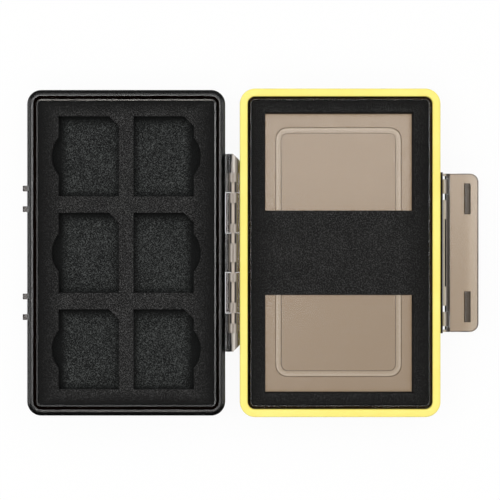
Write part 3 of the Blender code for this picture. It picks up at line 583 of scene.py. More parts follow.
# %% Skins over grids, and sections carried along Y
def skin(grid, closed_rows=False, caps=True):
    """Points and faces over a grid whose rows are closed loops.

    Each face joins two neighbours of a row with the two under them. The last row joins the first
    if the rows close, and otherwise a flat face caps each end."""
    rows, count = grid.shape[:2]
    index = np.arange(rows * count).reshape(rows, count)
    upper = index if closed_rows else index[:-1]
    lower = np.roll(index, -1, axis=0) if closed_rows else index[1:]
    ahead_upper, ahead_lower = np.roll(upper, -1, axis=1), np.roll(lower, -1, axis=1)
    quads = np.stack([upper, ahead_upper, ahead_lower, lower], axis=-1).reshape(-1, 4)
    faces = quads.tolist()
    if caps and not closed_rows:
        faces += [index[0].tolist(), index[-1].tolist()]
    return grid.reshape(-1, 3), faces


def carried(section, stations, axis):
    """The skin of a closed section carried straight along Y.

    The section is (across, up) from an axis at (x, z), and the same at all stations or one to
    each."""
    stations = np.asarray(stations, float)
    section = np.broadcast_to(section, (len(stations), *np.shape(section)[-2:]))
    along = np.broadcast_to(stations[:, None], section.shape[:2])
    return skin(np.stack([axis[0] + section[..., 0], along, axis[1] + section[..., 1]], axis=-1))


def carried_each(section, spans, axis):
    """The same section carried along each of some spans."""
    return [carried(section, span, axis) for span in spans]


def mirrored_spans(*spans):
    """Spans on the far side and their mirror images on the near side."""
    return [(low, high) for low, high in spans] + [(-high, -low) for low, high in spans]


print("skins ready")

# %% Pieces from skins
MERGE_DISTANCE = 1e-6
SHARP_ANGLE = 0.6
ON_LID = ("lid", "dark_plastic", ["lid_shell"])
ON_BASE = ("base", "smoke_plastic", ["base_shell"])
ON_LATCH = ("latch", "smoke_plastic", ["latch"])


def work_mesh(name, points, faces):
    """A mesh from points and faces, and a copy of it to work on."""
    mesh = bpy.data.meshes.new(name)
    mesh.from_pydata(points.tolist(), [], faces)
    work = bmesh.new()
    work.from_mesh(mesh)
    return mesh, work


def piece(name, skins, material, home, bevel=0.0):
    """One object from several skins, closed and facing outward.

    Its home is the body it rides on, its material slot, which is not used here, and the CAD nodes
    it stands in for."""
    points, faces, offset = [], [], 0
    for skin_points, skin_faces in skins:
        points.append(skin_points)
        faces += [[offset + i for i in face] for face in skin_faces]
        offset += len(skin_points)
    mesh, work = work_mesh(name, np.concatenate(points), faces)
    bmesh.ops.remove_doubles(work, verts=work.verts, dist=MERGE_DISTANCE)
    bmesh.ops.recalc_face_normals(work, faces=work.faces)
    work.to_mesh(mesh)
    work.free()
    mesh.shade_smooth()
    mesh.materials.append(material)
    item = bpy.data.objects.new(name, mesh)
    bpy.context.scene.collection.objects.link(item)
    if bevel:
        edge = item.modifiers.new("edges", "BEVEL")
        edge.width = bevel
        edge.segments = 2
        edge.limit_method = "ANGLE"
        edge.angle_limit = SHARP_ANGLE
    else:
        mesh.set_sharp_from_angle(angle=SHARP_ANGLE)
    weigh = item.modifiers.new("flats stay flat", "WEIGHTED_NORMAL")
    weigh.keep_sharp = True
    body, slot, nodes = home
    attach(item, body)
    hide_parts(*nodes)
    print("%s: %d points, %d faces" % (name, len(mesh.vertices), len(mesh.polygons)))
    return item


# %% [markdown]
# ## The two trays
#
# Both halves are the same tray: a floor with a raised panel in it that the case rests on, a
# wall, and a thicker flange round the rim. The rim is a stack of small steps. In the lid these
# are a bevelled edge, a channel and a thin ridge. In the base the outer part is a low seat for
# the gasket instead. The floor under the panel steps down on the inside as well, which draws the
# double outline that shows in both windows.

# %% The tray's rings
FLANGE_REACH = 0.0020
FLANGE_BOTTOM = 0.0165
FLOOR = 0.0020
WALL_FOOT_INSET = 0.0060
PANEL_INSET = 0.0143
PANEL_SLOPE = 0.0023
PANEL_RISE = 0.0009
PANEL_NARROWING = 0.0006
PANEL_SHIFT_X = -0.0002
PANEL_SHIFT_Y = 0.0003
FLAT_INSET = PANEL_INSET + PANEL_SLOPE
FLOOR_TOP = FLOOR + PANEL_RISE
MIDDLE_INSET = 0.0380
RADIUS_AT_INSET = np.array([(-0.0010, CORNER_RADIUS + 0.001), (0.0050, 0.0007),
                            (PANEL_INSET, 0.0050), (FLAT_INSET, 0.0028), (MIDDLE_INSET, 0.0003)])


def tray_rings(section, centre_x):
    """A section of (inset, height) carried round the tray.

    Half sizes are the tray's less the inset. The corner's radius falls with the inset down to
    the wall's foot, and then follows the panel's own corners."""
    inset, height = section[:, 0], section[:, 1]
    radius = np.interp(inset, *RADIUS_AT_INSET.T)
    near_panel = np.clip((inset - WALL_FOOT_INSET) / (PANEL_INSET - WALL_FOOT_INSET), 0.0, 1.0)
    return rounded_rings(TRAY_WIDTH / 2 - inset,
                         TRAY_LENGTH / 2 - inset - PANEL_NARROWING * near_panel, radius,
                         height, centre_x + PANEL_SHIFT_X * near_panel[:, None],
                         PANEL_SHIFT_Y * near_panel[:, None])


print("the panel's flat starts %.1f mm inside the rim" % (FLAT_INSET * 1000))

# %% Sections of the trays: corners as (inset, height, radius)
STEP_WIDTH = 0.0003
STEP_RISE = 0.0002
INNER_INSET = 0.0044
RIDGE_INSET = 0.0037
RIDGE_TOP = 0.0212
CHANNEL_INSET = 0.0025
CHANNEL_FLOOR = 0.0189
LID_RIDGE_ROUND = 0.00005
BASE_RIDGE_ROUND = 0.0004
OUTSIDE = [(MIDDLE_INSET, 0.0, 0.0), (FLAT_INSET, 0.0, 0.00005),
           (FLAT_INSET - 0.0001, STEP_RISE, 0.00005), (PANEL_INSET, PANEL_RISE, 0.0002),
           (FLANGE_REACH, PANEL_RISE, 0.0030),
           (FLANGE_REACH, FLANGE_BOTTOM - FLANGE_REACH, 0.0005), (0.0, FLANGE_BOTTOM, 0.0005)]
LID_RIM = [(0.0, TRAY_DEPTH - 0.0011, 0.0003), (0.0014, TRAY_DEPTH - 0.00011, 0.0003),
           (0.0019, TRAY_DEPTH, 0.0002), (CHANNEL_INSET, TRAY_DEPTH, 0.0001),
           (CHANNEL_INSET, CHANNEL_FLOOR, 0.0001)]
BASE_RIM = [(0.0, 0.0190, 0.0003), (0.0007, 0.0190, 0.0001), (0.0007, RIDGE_TOP, 0.0002),
            (0.0016, RIDGE_TOP, 0.0002), (0.0016, CHANNEL_FLOOR, 0.0001)]


def tray(name, rim, ridge_round, centre_x, material, home):
    """A tray: outside, rim, the channel's bottom, the ridge with its round, wall and floor."""
    section = filleted(OUTSIDE + rim + [
        (0.00315, 0.0176, 0.0001), (RIDGE_INSET, CHANNEL_FLOOR, 0.0001),
        (RIDGE_INSET, RIDGE_TOP, ridge_round), (INNER_INSET, RIDGE_TOP - 0.00015, ridge_round),
        (INNER_INSET, FLOOR_TOP, 0.0003), (PANEL_INSET, FLOOR_TOP, 0.0001),
        (PANEL_INSET + STEP_WIDTH, FLOOR, 0.0001), (MIDDLE_INSET, FLOOR, 0.0)])
    piece(name, [skin(tray_rings(section, centre_x))], material, home)


tray("lid_tray", LID_RIM, LID_RIDGE_ROUND, LID_X, dark_plastic, ON_LID)
tray("base_tray", BASE_RIM, BASE_RIDGE_ROUND, BASE_X, smoke_plastic, ON_BASE)

# %% [markdown]
# A fine dark line of painted shade runs where the panel starts and another where it is flat again.
# They are drawn as two fine near-black rings that lie on the floor.

# %% Painted shade lines along the panel's outline
LINE_WIDTH = 0.00011
LINE_HEIGHT = 0.00004
LINE_SINK = 0.00003


def shade_line(inset, floor_height):
    """A fine near-black ring of painted shade round the panel, one line wide, sunk a little into
    the floor.
    """
    low, high = floor_height - LINE_SINK, floor_height + LINE_HEIGHT
    section = np.array([(inset, low), (inset + LINE_WIDTH, low), (inset + LINE_WIDTH, high),
                        (inset, high)])
    return skin(tray_rings(section, BASE_X), closed_rows=True)


piece("base_panel_welts", [shade_line(PANEL_INSET - LINE_WIDTH, FLOOR_TOP), shade_line(FLAT_INSET, FLOOR)],
      edge_plastic, ON_BASE)

# %% [markdown]
# ## The gasket
#
# A ring of silicone with a U section, pressed over the seat. It stands 1.2 mm proud, so the
# lid's rim squeezes it. Its top is slightly crowned and its edges are round, which is what gives
# the pale line along its inner edge.

# %% Gasket: corners as (inset, height, radius)
GASKET_TOP = TRAY_DEPTH + 0.0012
GASKET_FOOT = TRAY_DEPTH - 0.0022
CROWN = 0.00012
GASKET_OUTER = -0.0005
GASKET_INNER = 0.0027
gasket_section = filleted(
    [(GASKET_OUTER, GASKET_FOOT, 0.0003), (GASKET_OUTER, GASKET_TOP - CROWN, 0.0006),
     (0.0004, GASKET_TOP, 0.0004), (0.0018, GASKET_TOP, 0.0004),
     (GASKET_INNER, GASKET_TOP - CROWN, 0.0006), (GASKET_INNER, GASKET_FOOT, 0.0003),
     (0.0019, GASKET_FOOT, 0.0002), (0.0019, TRAY_DEPTH, 0.0002), (0.0004, TRAY_DEPTH, 0.0002),
     (0.0004, GASKET_FOOT, 0.0002)], closed=True)
piece("gasket_ring", [skin(tray_rings(gasket_section, BASE_X), closed_rows=True)],
      yellow_silicone, ("base", "yellow_silicone", ["gasket"]))

# %% [markdown]
# ## The foams
#
# Each foam is cut from sheet with a steel-rule die. The blade drags the cells down as it goes
# in, so every cut edge is a small soft lip and not a sharp corner. A flat top filled between the
# outlines, with a lip carried round each outline and straight sides under it, gives that. The
# flat part is triangulated with its holes, and the lips are grids.

# %% Outlines of the foams
ARC_POINTS = 28
OUTLINE_STEP = 0.0012
LEAST_SLANT = 0.4


def bulge(start, end, rise):
    """An arc between two points that bulges to the right of the way between them.

    Its radius is (half chord squared + rise squared) / (2 rise)."""
    start, end = np.array(start), np.array(end)
    half = np.linalg.norm(end - start) / 2
    along = (end - start) / (2 * half)
    outward = np.array([along[1], -along[0]])
    radius = (half ** 2 + rise ** 2) / (2 * rise)
    angle = np.arcsin(half / radius) * np.linspace(-1.0, 1.0, ARC_POINTS)
    return ((start + end) / 2 + radius * np.sin(angle)[:, None] * along
            + (radius * np.cos(angle) - radius + rise)[:, None] * outward)


def drawn_in(outline, distance):
    """An outline moved inward by a distance, along the mean of its two sides' normals."""
    back = outline - np.roll(outline, 1, axis=0)
    ahead = np.roll(outline, -1, axis=0) - outline
    normals = [np.stack([-side[:, 1], side[:, 0]], axis=1)
               / np.linalg.norm(side, axis=1, keepdims=True) for side in (back, ahead)]
    mean = normals[0] + normals[1]
    mean /= np.linalg.norm(mean, axis=1, keepdims=True)
    slant = np.sum(mean * normals[0], axis=1, keepdims=True)
    return outline + mean * distance / np.maximum(slant, LEAST_SLANT)


def densified(outline):
    """The same outline with points added along its sides, at most a step apart."""
    ahead = np.roll(outline, -1, axis=0)
    parts = [start + (end - start) * np.linspace(0.0, 1.0, max(1, int(np.ceil(
        np.linalg.norm(end - start) / OUTLINE_STEP))), endpoint=False)[:, None]
        for start, end in zip(outline, ahead)]
    return np.concatenate(parts)


print("outlines have a point at least every %.1f mm" % (OUTLINE_STEP * 1000))

# %% A die-cut block
LIP_STEPS = 4
LIP_DEPTHS_TO_SWELL = 3
SWELL = 0.00004
WANDER = 0.00003
WANDER_WAVES = [(2100, 900, 0.0), (-1300, 1700, 1.3), (4100, 3700, 2.1)]


def wander(points):
    """A smooth unevenness from crossing sine waves, between -WANDER and WANDER."""
    x, y = points[..., 0], points[..., 1]
    return WANDER * sum(np.sin(along_x * x + along_y * y + phase)
                        for along_x, along_y, phase in WANDER_WAVES) / len(WANDER_WAVES)


def foam_block(outer, holes, foot, top, lips):
    """A block between two heights with cut edges, and a lip's size for each outline.

    From the flat top a cut edge falls as a quarter of an ellipse, a lip wide and a lip deep,
    and then goes straight down, swollen outward by SWELL so that the cut closes under its
    mouth. The line wanders by a few hundredths of a millimetre. The holes' outlines run
    clockwise, so that drawing in by a negative distance widens the foam's rim toward the hole."""
    loops = [densified(outer)] + [densified(hole)[::-1] for hole in holes]
    turn = np.linspace(pi / 2, 0.0, LIP_STEPS + 1)
    skins, flats = [], []
    for loop, lip in zip(loops, lips):
        height = np.concatenate([top - lip + lip * np.sin(turn),
                                 [top - LIP_DEPTHS_TO_SWELL * lip, (top + foot) / 2, foot]])
        inset = np.concatenate([lip - lip * np.cos(turn), [-SWELL, -SWELL, -SWELL]])
        rows = []
        for depth_in, z in zip(inset, height):
            row = drawn_in(loop, depth_in)
            row = row + wander(row)[:, None]
            rows.append(np.column_stack([row, np.full(len(row), z)]))
        grid = np.stack(rows)
        skins.append(skin(grid, caps=False))
        flats.append(grid)
    for row in (0, -1):
        points = np.concatenate([grid[row] for grid in flats])
        triangles = tessellate_polygon([[Vector(p) for p in grid[row]] for grid in flats])
        skins.append((points, [list(triangle) for triangle in triangles]))
    return skins


print("foam edges wander by %.2f mm" % (WANDER * 1000))

# %% Base foam and its plug
FOAM_TOP = 0.0210
FOAM_FOOT = 0.0032
FOAM_CORNER = 0.0011
LIP = 0.0002
KERF_LIP = 0.00012
KERF = 0.00003
WINDOW_HALF_X = 0.02995
WINDOW_HALF_Y = 0.01985
WINDOW_X = BASE_X - 0.00025
WINDOW_Y = 0.03690
PLUG_X = BASE_X - 0.0006
PLUG_HALF_X = 0.03155
PLUG_HALF_Y = 0.00895
BUMP_HALF = 0.0100
BUMP_RISE = 0.0040


def plug_outline(inset):
    """The plug's rectangle with a thumb bump on each long side, drawn in by an inset."""
    x, y, half = PLUG_HALF_X - inset, PLUG_HALF_Y - inset, BUMP_HALF - inset
    return np.concatenate([
        [(-x, -y)], bulge((-half, -y), (half, -y), BUMP_RISE), [(x, -y), (x, y)],
        bulge((half, y), (-half, y), BUMP_RISE), [(-x, y)]]) + (PLUG_X, 0.0)


def window_outline(y):
    """A battery window's four corners, anticlockwise."""
    return np.array([(WINDOW_X + side_x * WINDOW_HALF_X, y + side_y * WINDOW_HALF_Y)
                     for side_x, side_y in ((-1, -1), (1, -1), (1, 1), (-1, 1))])


def foam_edge(centre_x):
    """The block's outer outline, a rounded rectangle."""
    return rounded_rings([FOAM_HALF_X], [FOAM_HALF_Y], [FOAM_CORNER], [0.0], centre_x)[0, ::2, :2]


base_block = piece(
    "base_foam_block",
    foam_block(foam_edge(BASE_X), [window_outline(WINDOW_Y), window_outline(-WINDOW_Y),
                                   plug_outline(0.0)],
               FOAM_FOOT, FOAM_TOP, [LIP, LIP, LIP, KERF_LIP]),
    battery_foam, ("base", "black_foam", ["base_foam"]))
plug = piece("base_foam_plug", foam_block(plug_outline(KERF), [], FOAM_FOOT, FOAM_TOP, [KERF_LIP]),
             battery_foam, ("base", "black_foam", ["foam_plug"]))

# %% Card layer and its floor
POCKET_CHAMFER = 0.0040
NOTCH_HALF = 0.00765
NOTCH_RISE = 0.0028
CARD_FOOT = 0.0164


def pocket_outline(x, y, notch_side):
    """A card's outline with its cut corner, and a thumb notch on one side."""
    left, right, low, high = (x - POCKET_HALF_X, x + POCKET_HALF_X, y - POCKET_HALF_Y,
                              y + POCKET_HALF_Y)
    edge = right if notch_side > 0 else left
    notch = bulge((edge, y - notch_side * NOTCH_HALF), (edge, y + notch_side * NOTCH_HALF),
                  NOTCH_RISE)
    nothing = np.empty((0, 2))
    return np.concatenate([[(right, low)], notch if notch_side > 0 else nothing,
                           [(right, high - POCKET_CHAMFER), (right - POCKET_CHAMFER, high),
                            (left, high)], nothing if notch_side > 0 else notch, [(left, low)]])


pockets = [pocket_outline(LID_X + column * COLUMN_PITCH / 2, row * ROW_PITCH, column)
           for column in (-1, 1) for row in (-1, 0, 1)]
card_layer = piece("card_layer", foam_block(foam_edge(LID_X), pockets, CARD_FOOT, FOAM_TOP,
                                            [LIP] * (1 + len(pockets))),
                   card_foam, ("lid", "black_foam", ["lid_foam"]))
card_floor = piece("card_floor",
                   foam_block(foam_edge(LID_X), [], FOAM_FOOT, CARD_FOOT - CLEARANCE, [LIP]),
                   floor_foam, ("lid", "black_foam", ["lid_foam_backing"]))

# %% [markdown]
# ## The hinge
#
# Five barrels share one steel pin: three on the lid and two on the base. A mould that opens
# straight up can't close round a pin, so each barrel is open above it: a narrow slit over the
# bridges, and a wide trough between them, in which the pin lies bare. One section, with its top
# open a little or a lot, is carried along the pin, and changes at each step.

# %% Section of a barrel
PIN_RADIUS = 0.0008
BORE_RADIUS = 0.0011
BARREL_RADIUS = 0.0020
SLIT_HALF = 0.000175
TROUGH_HALF = 0.0013
ARC = 40
FLANK = 24


def resampled(points, count):
    """A line of points at even distances along a broken line."""
    points = np.array(points, float)
    gone = np.concatenate([[0.0], np.cumsum(np.linalg.norm(np.diff(points, axis=0), axis=1))])
    even = np.linspace(0.0, gone[-1], count)
    return np.column_stack([np.interp(even, gone, points[:, 0]),
                            np.interp(even, gone, points[:, 1])])


def on_circle(radius, start, end, count):
    """Points at radius times (sin a, cos a), where a is the angle from straight up."""
    angle = np.linspace(start, end, count)
    return np.column_stack([radius * np.sin(angle), radius * np.cos(angle)])


def barrel_section(opened):
    """Half-open ring round the pin, with its top open by the slit, or by the trough if opened.

    Both have the same points below the trough's edges, and the same number above, so that one
    can be joined to the other by a flat step."""
    edge = np.arcsin(TROUGH_HALF / BARREL_RADIUS)
    if opened:
        flank = resampled([(TROUGH_HALF, BARREL_RADIUS * np.cos(edge)), (TROUGH_HALF, 0.0),
                           (BORE_RADIUS, 0.0)], FLANK)
    else:
        outer = on_circle(BARREL_RADIUS, edge, np.arcsin(SLIT_HALF / BARREL_RADIUS), FLANK)
        inner = on_circle(BORE_RADIUS, np.arcsin(SLIT_HALF / BORE_RADIUS), pi / 2, FLANK)
        flank = resampled(np.concatenate([outer, inner]), FLANK)
    under = on_circle(BORE_RADIUS, pi / 2, 3 * pi / 2, ARC)[1:-1]
    round_outside = on_circle(BARREL_RADIUS, 2 * pi - edge, edge, ARC)[1:-1]
    return np.concatenate([flank, under, flank[::-1] * (-1, 1), round_outside])


def barrel(start, end, *troughs):
    """A barrel between two stations along the pin, with troughs between the given ones."""
    stations, opened = [start], [troughs[0][0] <= start]
    for low, high in troughs:
        if low > start:
            stations += [low, low]
            opened += [False, True]
        if high < end:
            stations += [high, high]
            opened += [True, False]
    stations.append(end)
    opened.append(troughs[-1][1] >= end)
    return carried(np.stack([barrel_section(value) for value in opened]), stations, HINGE_AXIS)


print("slit %.2f mm and trough %.1f mm wide" % (SLIT_HALF * 2000, TROUGH_HALF * 2000))

# %% Barrels
MIDDLE_END = 0.0078
BASE_START = 0.0081
BASE_END = 0.0242
OUTER_START = 0.0245
BLOCK_START = 0.0323
OUTER_END = 0.0399
MIDDLE_TROUGH = (0.0038, MIDDLE_END)
BASE_TROUGH = (0.0117, 0.0201)
OUTER_TROUGH = (OUTER_START, 0.0285)

lid_barrels = [barrel(-MIDDLE_END, MIDDLE_END, *mirrored_spans(MIDDLE_TROUGH)[::-1])]
base_barrels = []
for barrels, span, trough in ((lid_barrels, (OUTER_START, BLOCK_START), OUTER_TROUGH),
                              (base_barrels, (BASE_START, BASE_END), BASE_TROUGH)):
    barrels += [barrel(*ends, opening) for ends, opening in zip(mirrored_spans(span),
                                                                mirrored_spans(trough))]
print(len(lid_barrels), "barrels on the lid and", len(base_barrels), "on the base")

# %% [markdown]
# Arms hold the lid's barrels to its wall. Under each of the base's barrels a web stands on a
# thick plate, whose far edge meets the lid's wall when the lid lies flat, and stops it there.

# %% Arms, webs and stop plates
WALL_GRIP = 0.00005
ARM_OVER = 0.00005
SHELF_GAP = 0.00015
SHELF_END = OUTER_END - 0.0026
SHELF_BESIDE_ARM = 0.00122
LID_WALL = -HINGE_OFFSET - WALL_GRIP
BASE_WALL = HINGE_OFFSET + WALL_GRIP
ARM_FOOT, ARM_TOP = -0.0046, -0.0012
PLATE_FOOT, PLATE_TOP = -0.00545, -0.00325

lid_arm = [(LID_WALL, ARM_FOOT), (0.0, -0.00185), (-0.0009, -0.00145), (-0.00135, ARM_TOP),
           (LID_WALL, ARM_TOP)]
base_arm = [(0.0012, PLATE_FOOT), (0.0012, -0.00145), (0.0004, -0.00165), (-0.0004, -0.00165),
            (-0.0012, -0.00145), (-0.0012, PLATE_TOP), (-0.0030, PLATE_TOP),
            (-0.0030, PLATE_FOOT)]


def shelf(edge):
    """The section of a plate from the base's wall to an edge."""
    return [(BASE_WALL, PLATE_FOOT), (BASE_WALL, PLATE_TOP), (edge, PLATE_TOP), (edge, PLATE_FOOT)]


lid_arms = carried_each(lid_arm, mirrored_spans((OUTER_START - ARM_OVER, BLOCK_START))
                        + [(-MIDDLE_END - ARM_OVER, MIDDLE_END + ARM_OVER)], HINGE_AXIS)
base_arms = carried_each(base_arm, mirrored_spans((BASE_START - ARM_OVER, BASE_END + ARM_OVER)),
                         HINGE_AXIS)
base_shelves = carried_each(shelf(CLEARANCE), mirrored_spans((BASE_END + SHELF_GAP, SHELF_END))
                            + [(SHELF_GAP - BASE_START, BASE_START - SHELF_GAP)], HINGE_AXIS)
base_shelves += carried_each(shelf(SHELF_BESIDE_ARM), mirrored_spans((BASE_START, BASE_END)),
                             HINGE_AXIS)
print(len(lid_arms), "arms on the lid,", len(base_arms), "webs and", len(base_shelves), "plates")

# %% [markdown]
# The hinge ends in a block at each end of the lid's row, with a groove along its top. It is made
# as a crest with a painted highlight round a core of dense dark smoke, which is painted shade, so
# that its right-hand side shows bright and the rest dark.

# %% End blocks: a core with a groove in it, and the crest round it
BLOCK_RADIUS = 0.0024
CREST_WALL = 0.0008
CORE_GAP = 0.00002
CREST_START = -0.24
CORE_START = -0.38
core_round = on_circle(BLOCK_RADIUS - CREST_WALL - CORE_GAP, CORE_START, pi, ARC)
core_section = np.concatenate([
    core_round,
    filleted([(0.0, -0.0024, 0.0), (LID_WALL, ARM_FOOT, 0.0), (LID_WALL, ARM_TOP, 0.0),
              (-0.0024, ARM_TOP, 0.0002), (-0.0024, 0.0007, 0.0004), (-0.0018, 0.0016, 0.0003),
              (-0.0012, 0.0017, 0.0002), (-0.0012, -0.0006, 0.0001), (-0.0006, -0.0006, 0.0001),
              (-0.0006, 0.0014, 0.0)])[1:-1]])
crest_section = np.concatenate([on_circle(BLOCK_RADIUS, CREST_START, pi, ARC),
                                on_circle(BLOCK_RADIUS - CREST_WALL, pi, CORE_START, ARC)])


def end_blocks(section):
    """A part of the block at each end of the hinge, its base side cut off at 45 degrees."""
    blocks = []
    for side in (1, -1):
        mesh, work = work_mesh("end_block_work", *carried(
            section, [side * BLOCK_START, side * OUTER_END], HINGE_AXIS))
        cut = bmesh.ops.bisect_plane(work, geom=work.verts[:] + work.edges[:] + work.faces[:],
                                     plane_co=(PIN_X, side * OUTER_END, PIN_Z),
                                     plane_no=(1.0, side, 0.0), clear_outer=True)
        rim = [item for item in cut["geom_cut"] if isinstance(item, bmesh.types.BMEdge)]
        bmesh.ops.contextual_create(work, geom=rim)
        work.verts.index_update()
        blocks.append((np.array([vertex.co[:] for vertex in work.verts]),
                       [[vertex.index for vertex in face.verts] for face in work.faces]))
        work.free()
        bpy.data.meshes.remove(mesh)
    return blocks


# The crest carries a painted highlight, and the core, in dense dark smoke, painted shade.
crests = end_blocks(crest_section)
lid_arms += end_blocks(core_section)
print(len(crests), "end blocks")

# %% Pieces of the hinge
HINGE_BEVEL = 0.00012
for name, skins, material, home in (
        ("lid_hinge_barrels", lid_barrels, barrel_plastic, ON_LID),
        ("lid_hinge_crests", crests, crest_plastic, ON_LID),
        ("lid_hinge_arms", lid_arms, deep_plastic, ON_LID),
        ("base_hinge_barrels", base_barrels, barrel_plastic, ON_BASE),
        ("base_hinge_arms", base_arms, deep_plastic, ON_BASE),
        ("base_hinge_shelf", base_shelves, shelf_plastic, ON_BASE)):
    piece(name, skins, material, home, HINGE_BEVEL)

# %% [markdown]
# The troughs beside the pin and the end blocks' grooves get painted shade: thin near-black strips
# at the bottom of each.

# %% Painted shade in the troughs and in the end blocks' grooves
TROUGH_GAP = 0.00003
STRIP_FOOT = -0.0003
groove_shade_strip = [(-0.00118, -0.0007), (-0.00062, -0.0007), (-0.00062, STRIP_FOOT),
                (-0.00118, STRIP_FOOT)]


def trough_shade_strips(*troughs):
    """Narrow near-black strips of painted shade between the pin and both sides of each trough and
    its mirror image.
    """
    shade_strips = []
    for span in mirrored_spans(*troughs):
        for side in (1, -1):
            near, far = side * (PIN_RADIUS + TROUGH_GAP), side * (TROUGH_HALF - CORE_GAP)
            shade_strips.append(carried([(near, STRIP_FOOT), (far, STRIP_FOOT), (far, CORE_GAP),
                                   (near, CORE_GAP)], span, HINGE_AXIS))
    return shade_strips


groove_span = (BLOCK_START + WALL_GRIP, OUTER_END - WALL_GRIP)
piece("lid_trough_floors", trough_shade_strips(MIDDLE_TROUGH, OUTER_TROUGH)
      + carried_each(groove_shade_strip, mirrored_spans(groove_span), HINGE_AXIS), slot_plastic, ON_LID)
piece("base_trough_floors", trough_shade_strips(BASE_TROUGH), slot_plastic, ON_BASE)

# %% Pins
PIN_END = 0.0368
LATCH_PIN_RADIUS = 0.0004
LATCH_PIN_SPAN = (0.0177, 0.0317)
WIRE_ROUND_SHARE = 0.35
WIRE_ROUND_STEPS = 4
WIRE_SIDES = 32


def wire(axis, radius, start, end):
    """A pin along Y: circles whose radius falls at both ends as a small quarter round."""
    small = radius * WIRE_ROUND_SHARE
    turn = np.linspace(0.0, pi / 2, WIRE_ROUND_STEPS + 1)
    radii = np.concatenate([radius - small + small * np.sin(turn),
                            radius - small + small * np.cos(turn)])
    along = np.concatenate([start + small - small * np.cos(turn),
                            end - small + small * np.sin(turn)])
    unit_circle = on_circle(1.0, 0.0, 2 * pi, WIRE_SIDES + 1)[:-1]
    return carried(unit_circle * radii[:, None, None], along, axis)


piece("hinge_wire", [wire(HINGE_AXIS, PIN_RADIUS, -PIN_END, PIN_END)], pin_steel,
      ("base", "pin_steel", ["hinge_pin"]))
for name, span in zip(("upper", "lower"), mirrored_spans(LATCH_PIN_SPAN)):
    piece("latch_wire_" + name, [wire(LATCH_AXIS, LATCH_PIN_RADIUS, *span)], black_steel,
          ("base", "pin_steel", ["latch_pin_" + name]))

# %% [markdown]
# ## Hooks, ledge and lugs
#
# Four small hooks stand out of the lid's far wall, for the latch's bars to snap over. On the
# base's far wall a thin ledge carries the two lugs that the latch's pins go through; the ledge is
# near-black, as painted shade. Beside each lug, toward the flap, lies a near-black crescent of
# painted shade.

# %% Hooks
HOOK_SPACING = 0.0083
HOOK_PAIR_PITCH = 0.0436
HOOK_HALF_WIDTH = 0.00115
HOOK_AXIS = (LID_X - TRAY_WIDTH / 2, PIN_Z - 0.0013)
HOOK_FOOT, HOOK_REACH, HOOK_ROOT = -0.0022, -0.0018, 0.0010
HOOK_BEVEL = 0.0002


def around(half_width, *places):
    """A span round each of some places."""
    return [(y - half_width, y + half_width) for y in places]


hook_section = filleted([(HOOK_ROOT, HOOK_FOOT, 0.0), (HOOK_ROOT, 0.0, 0.0),
                         (HOOK_REACH, 0.0, 0.0006), (HOOK_REACH, HOOK_FOOT, 0.0002)], closed=True)
hook_places = [pair * HOOK_PAIR_PITCH / 2 + one * HOOK_SPACING / 2
               for pair in (-1, 1) for one in (-1, 1)]
piece("lid_hooks", carried_each(hook_section, around(HOOK_HALF_WIDTH, *hook_places), HOOK_AXIS),
      dark_plastic, ON_LID, HOOK_BEVEL)

# %% Ledge, lugs and the painted shade beside the lugs
LATCH_HALF = 0.0320
LEDGE_HALF = 0.0326
LUG_Y = 0.0268
LUG_HALF_WIDTH = 0.0029
LUG_RADIUS = 0.00125
LUG_FACE_RADIUS = 0.00100
LUG_ARC = 24
LUG_BACK_START, LUG_BACK_END, LUG_BACK_ARC = -pi / 2 + 0.1, -0.05, 12
LUG_SHADE_RADIUS = 0.00135
LUG_SHADE_HALF_WIDTH = 0.00315
LUG_SHADE_START, LUG_SHADE_INNER_START, LUG_SHADE_END, LUG_SHADE_ARC = 1.0, 0.8, 2.6, 20
WALL_AT = -LATCH_OFFSET - WALL_GRIP
LEDGE_AT = 0.00145 - LATCH_OFFSET
SHELF_AT = 0.0017 - LATCH_OFFSET
LEDGE_TOP = -0.0001
ledge_section = filleted([(WALL_AT, -0.0038, 0.0), (SHELF_AT, -0.0025, 0.0002),
                          (SHELF_AT, -0.0017, 0.0001), (LEDGE_AT, -0.0016, 0.0001),
                          (LEDGE_AT, -0.0012, 0.0001), (WALL_AT, LEDGE_TOP, 0.0)], closed=True)
lug_section = np.concatenate([
    on_circle(LUG_FACE_RADIUS, 0.0, pi, LUG_ARC),
    [(LEDGE_AT - WALL_GRIP, -LUG_RADIUS), (LEDGE_AT - WALL_GRIP, LEDGE_TOP),
     (-LUG_RADIUS, LEDGE_TOP)],
    on_circle(LUG_RADIUS, LUG_BACK_START, LUG_BACK_END, LUG_BACK_ARC)])
lug_shade_section = np.concatenate([
    on_circle(LUG_SHADE_RADIUS, LUG_SHADE_START, LUG_SHADE_END, LUG_SHADE_ARC),
    on_circle(LUG_FACE_RADIUS + CORE_GAP, LUG_SHADE_END, LUG_SHADE_INNER_START, LUG_SHADE_ARC)])
piece("base_ledge", [carried(ledge_section, (-LEDGE_HALF, LEDGE_HALF), LATCH_AXIS)],
      edge_plastic, ON_BASE, HINGE_BEVEL)
piece("base_lugs", carried_each(lug_section, around(LUG_HALF_WIDTH, -LUG_Y, LUG_Y), LATCH_AXIS),
      knuckle_plastic, ON_BASE, HINGE_BEVEL)
piece("base_lug_heels",
      carried_each(lug_shade_section, around(LUG_SHADE_HALF_WIDTH, -LUG_Y, LUG_Y), LATCH_AXIS),
      edge_plastic, ON_BASE)
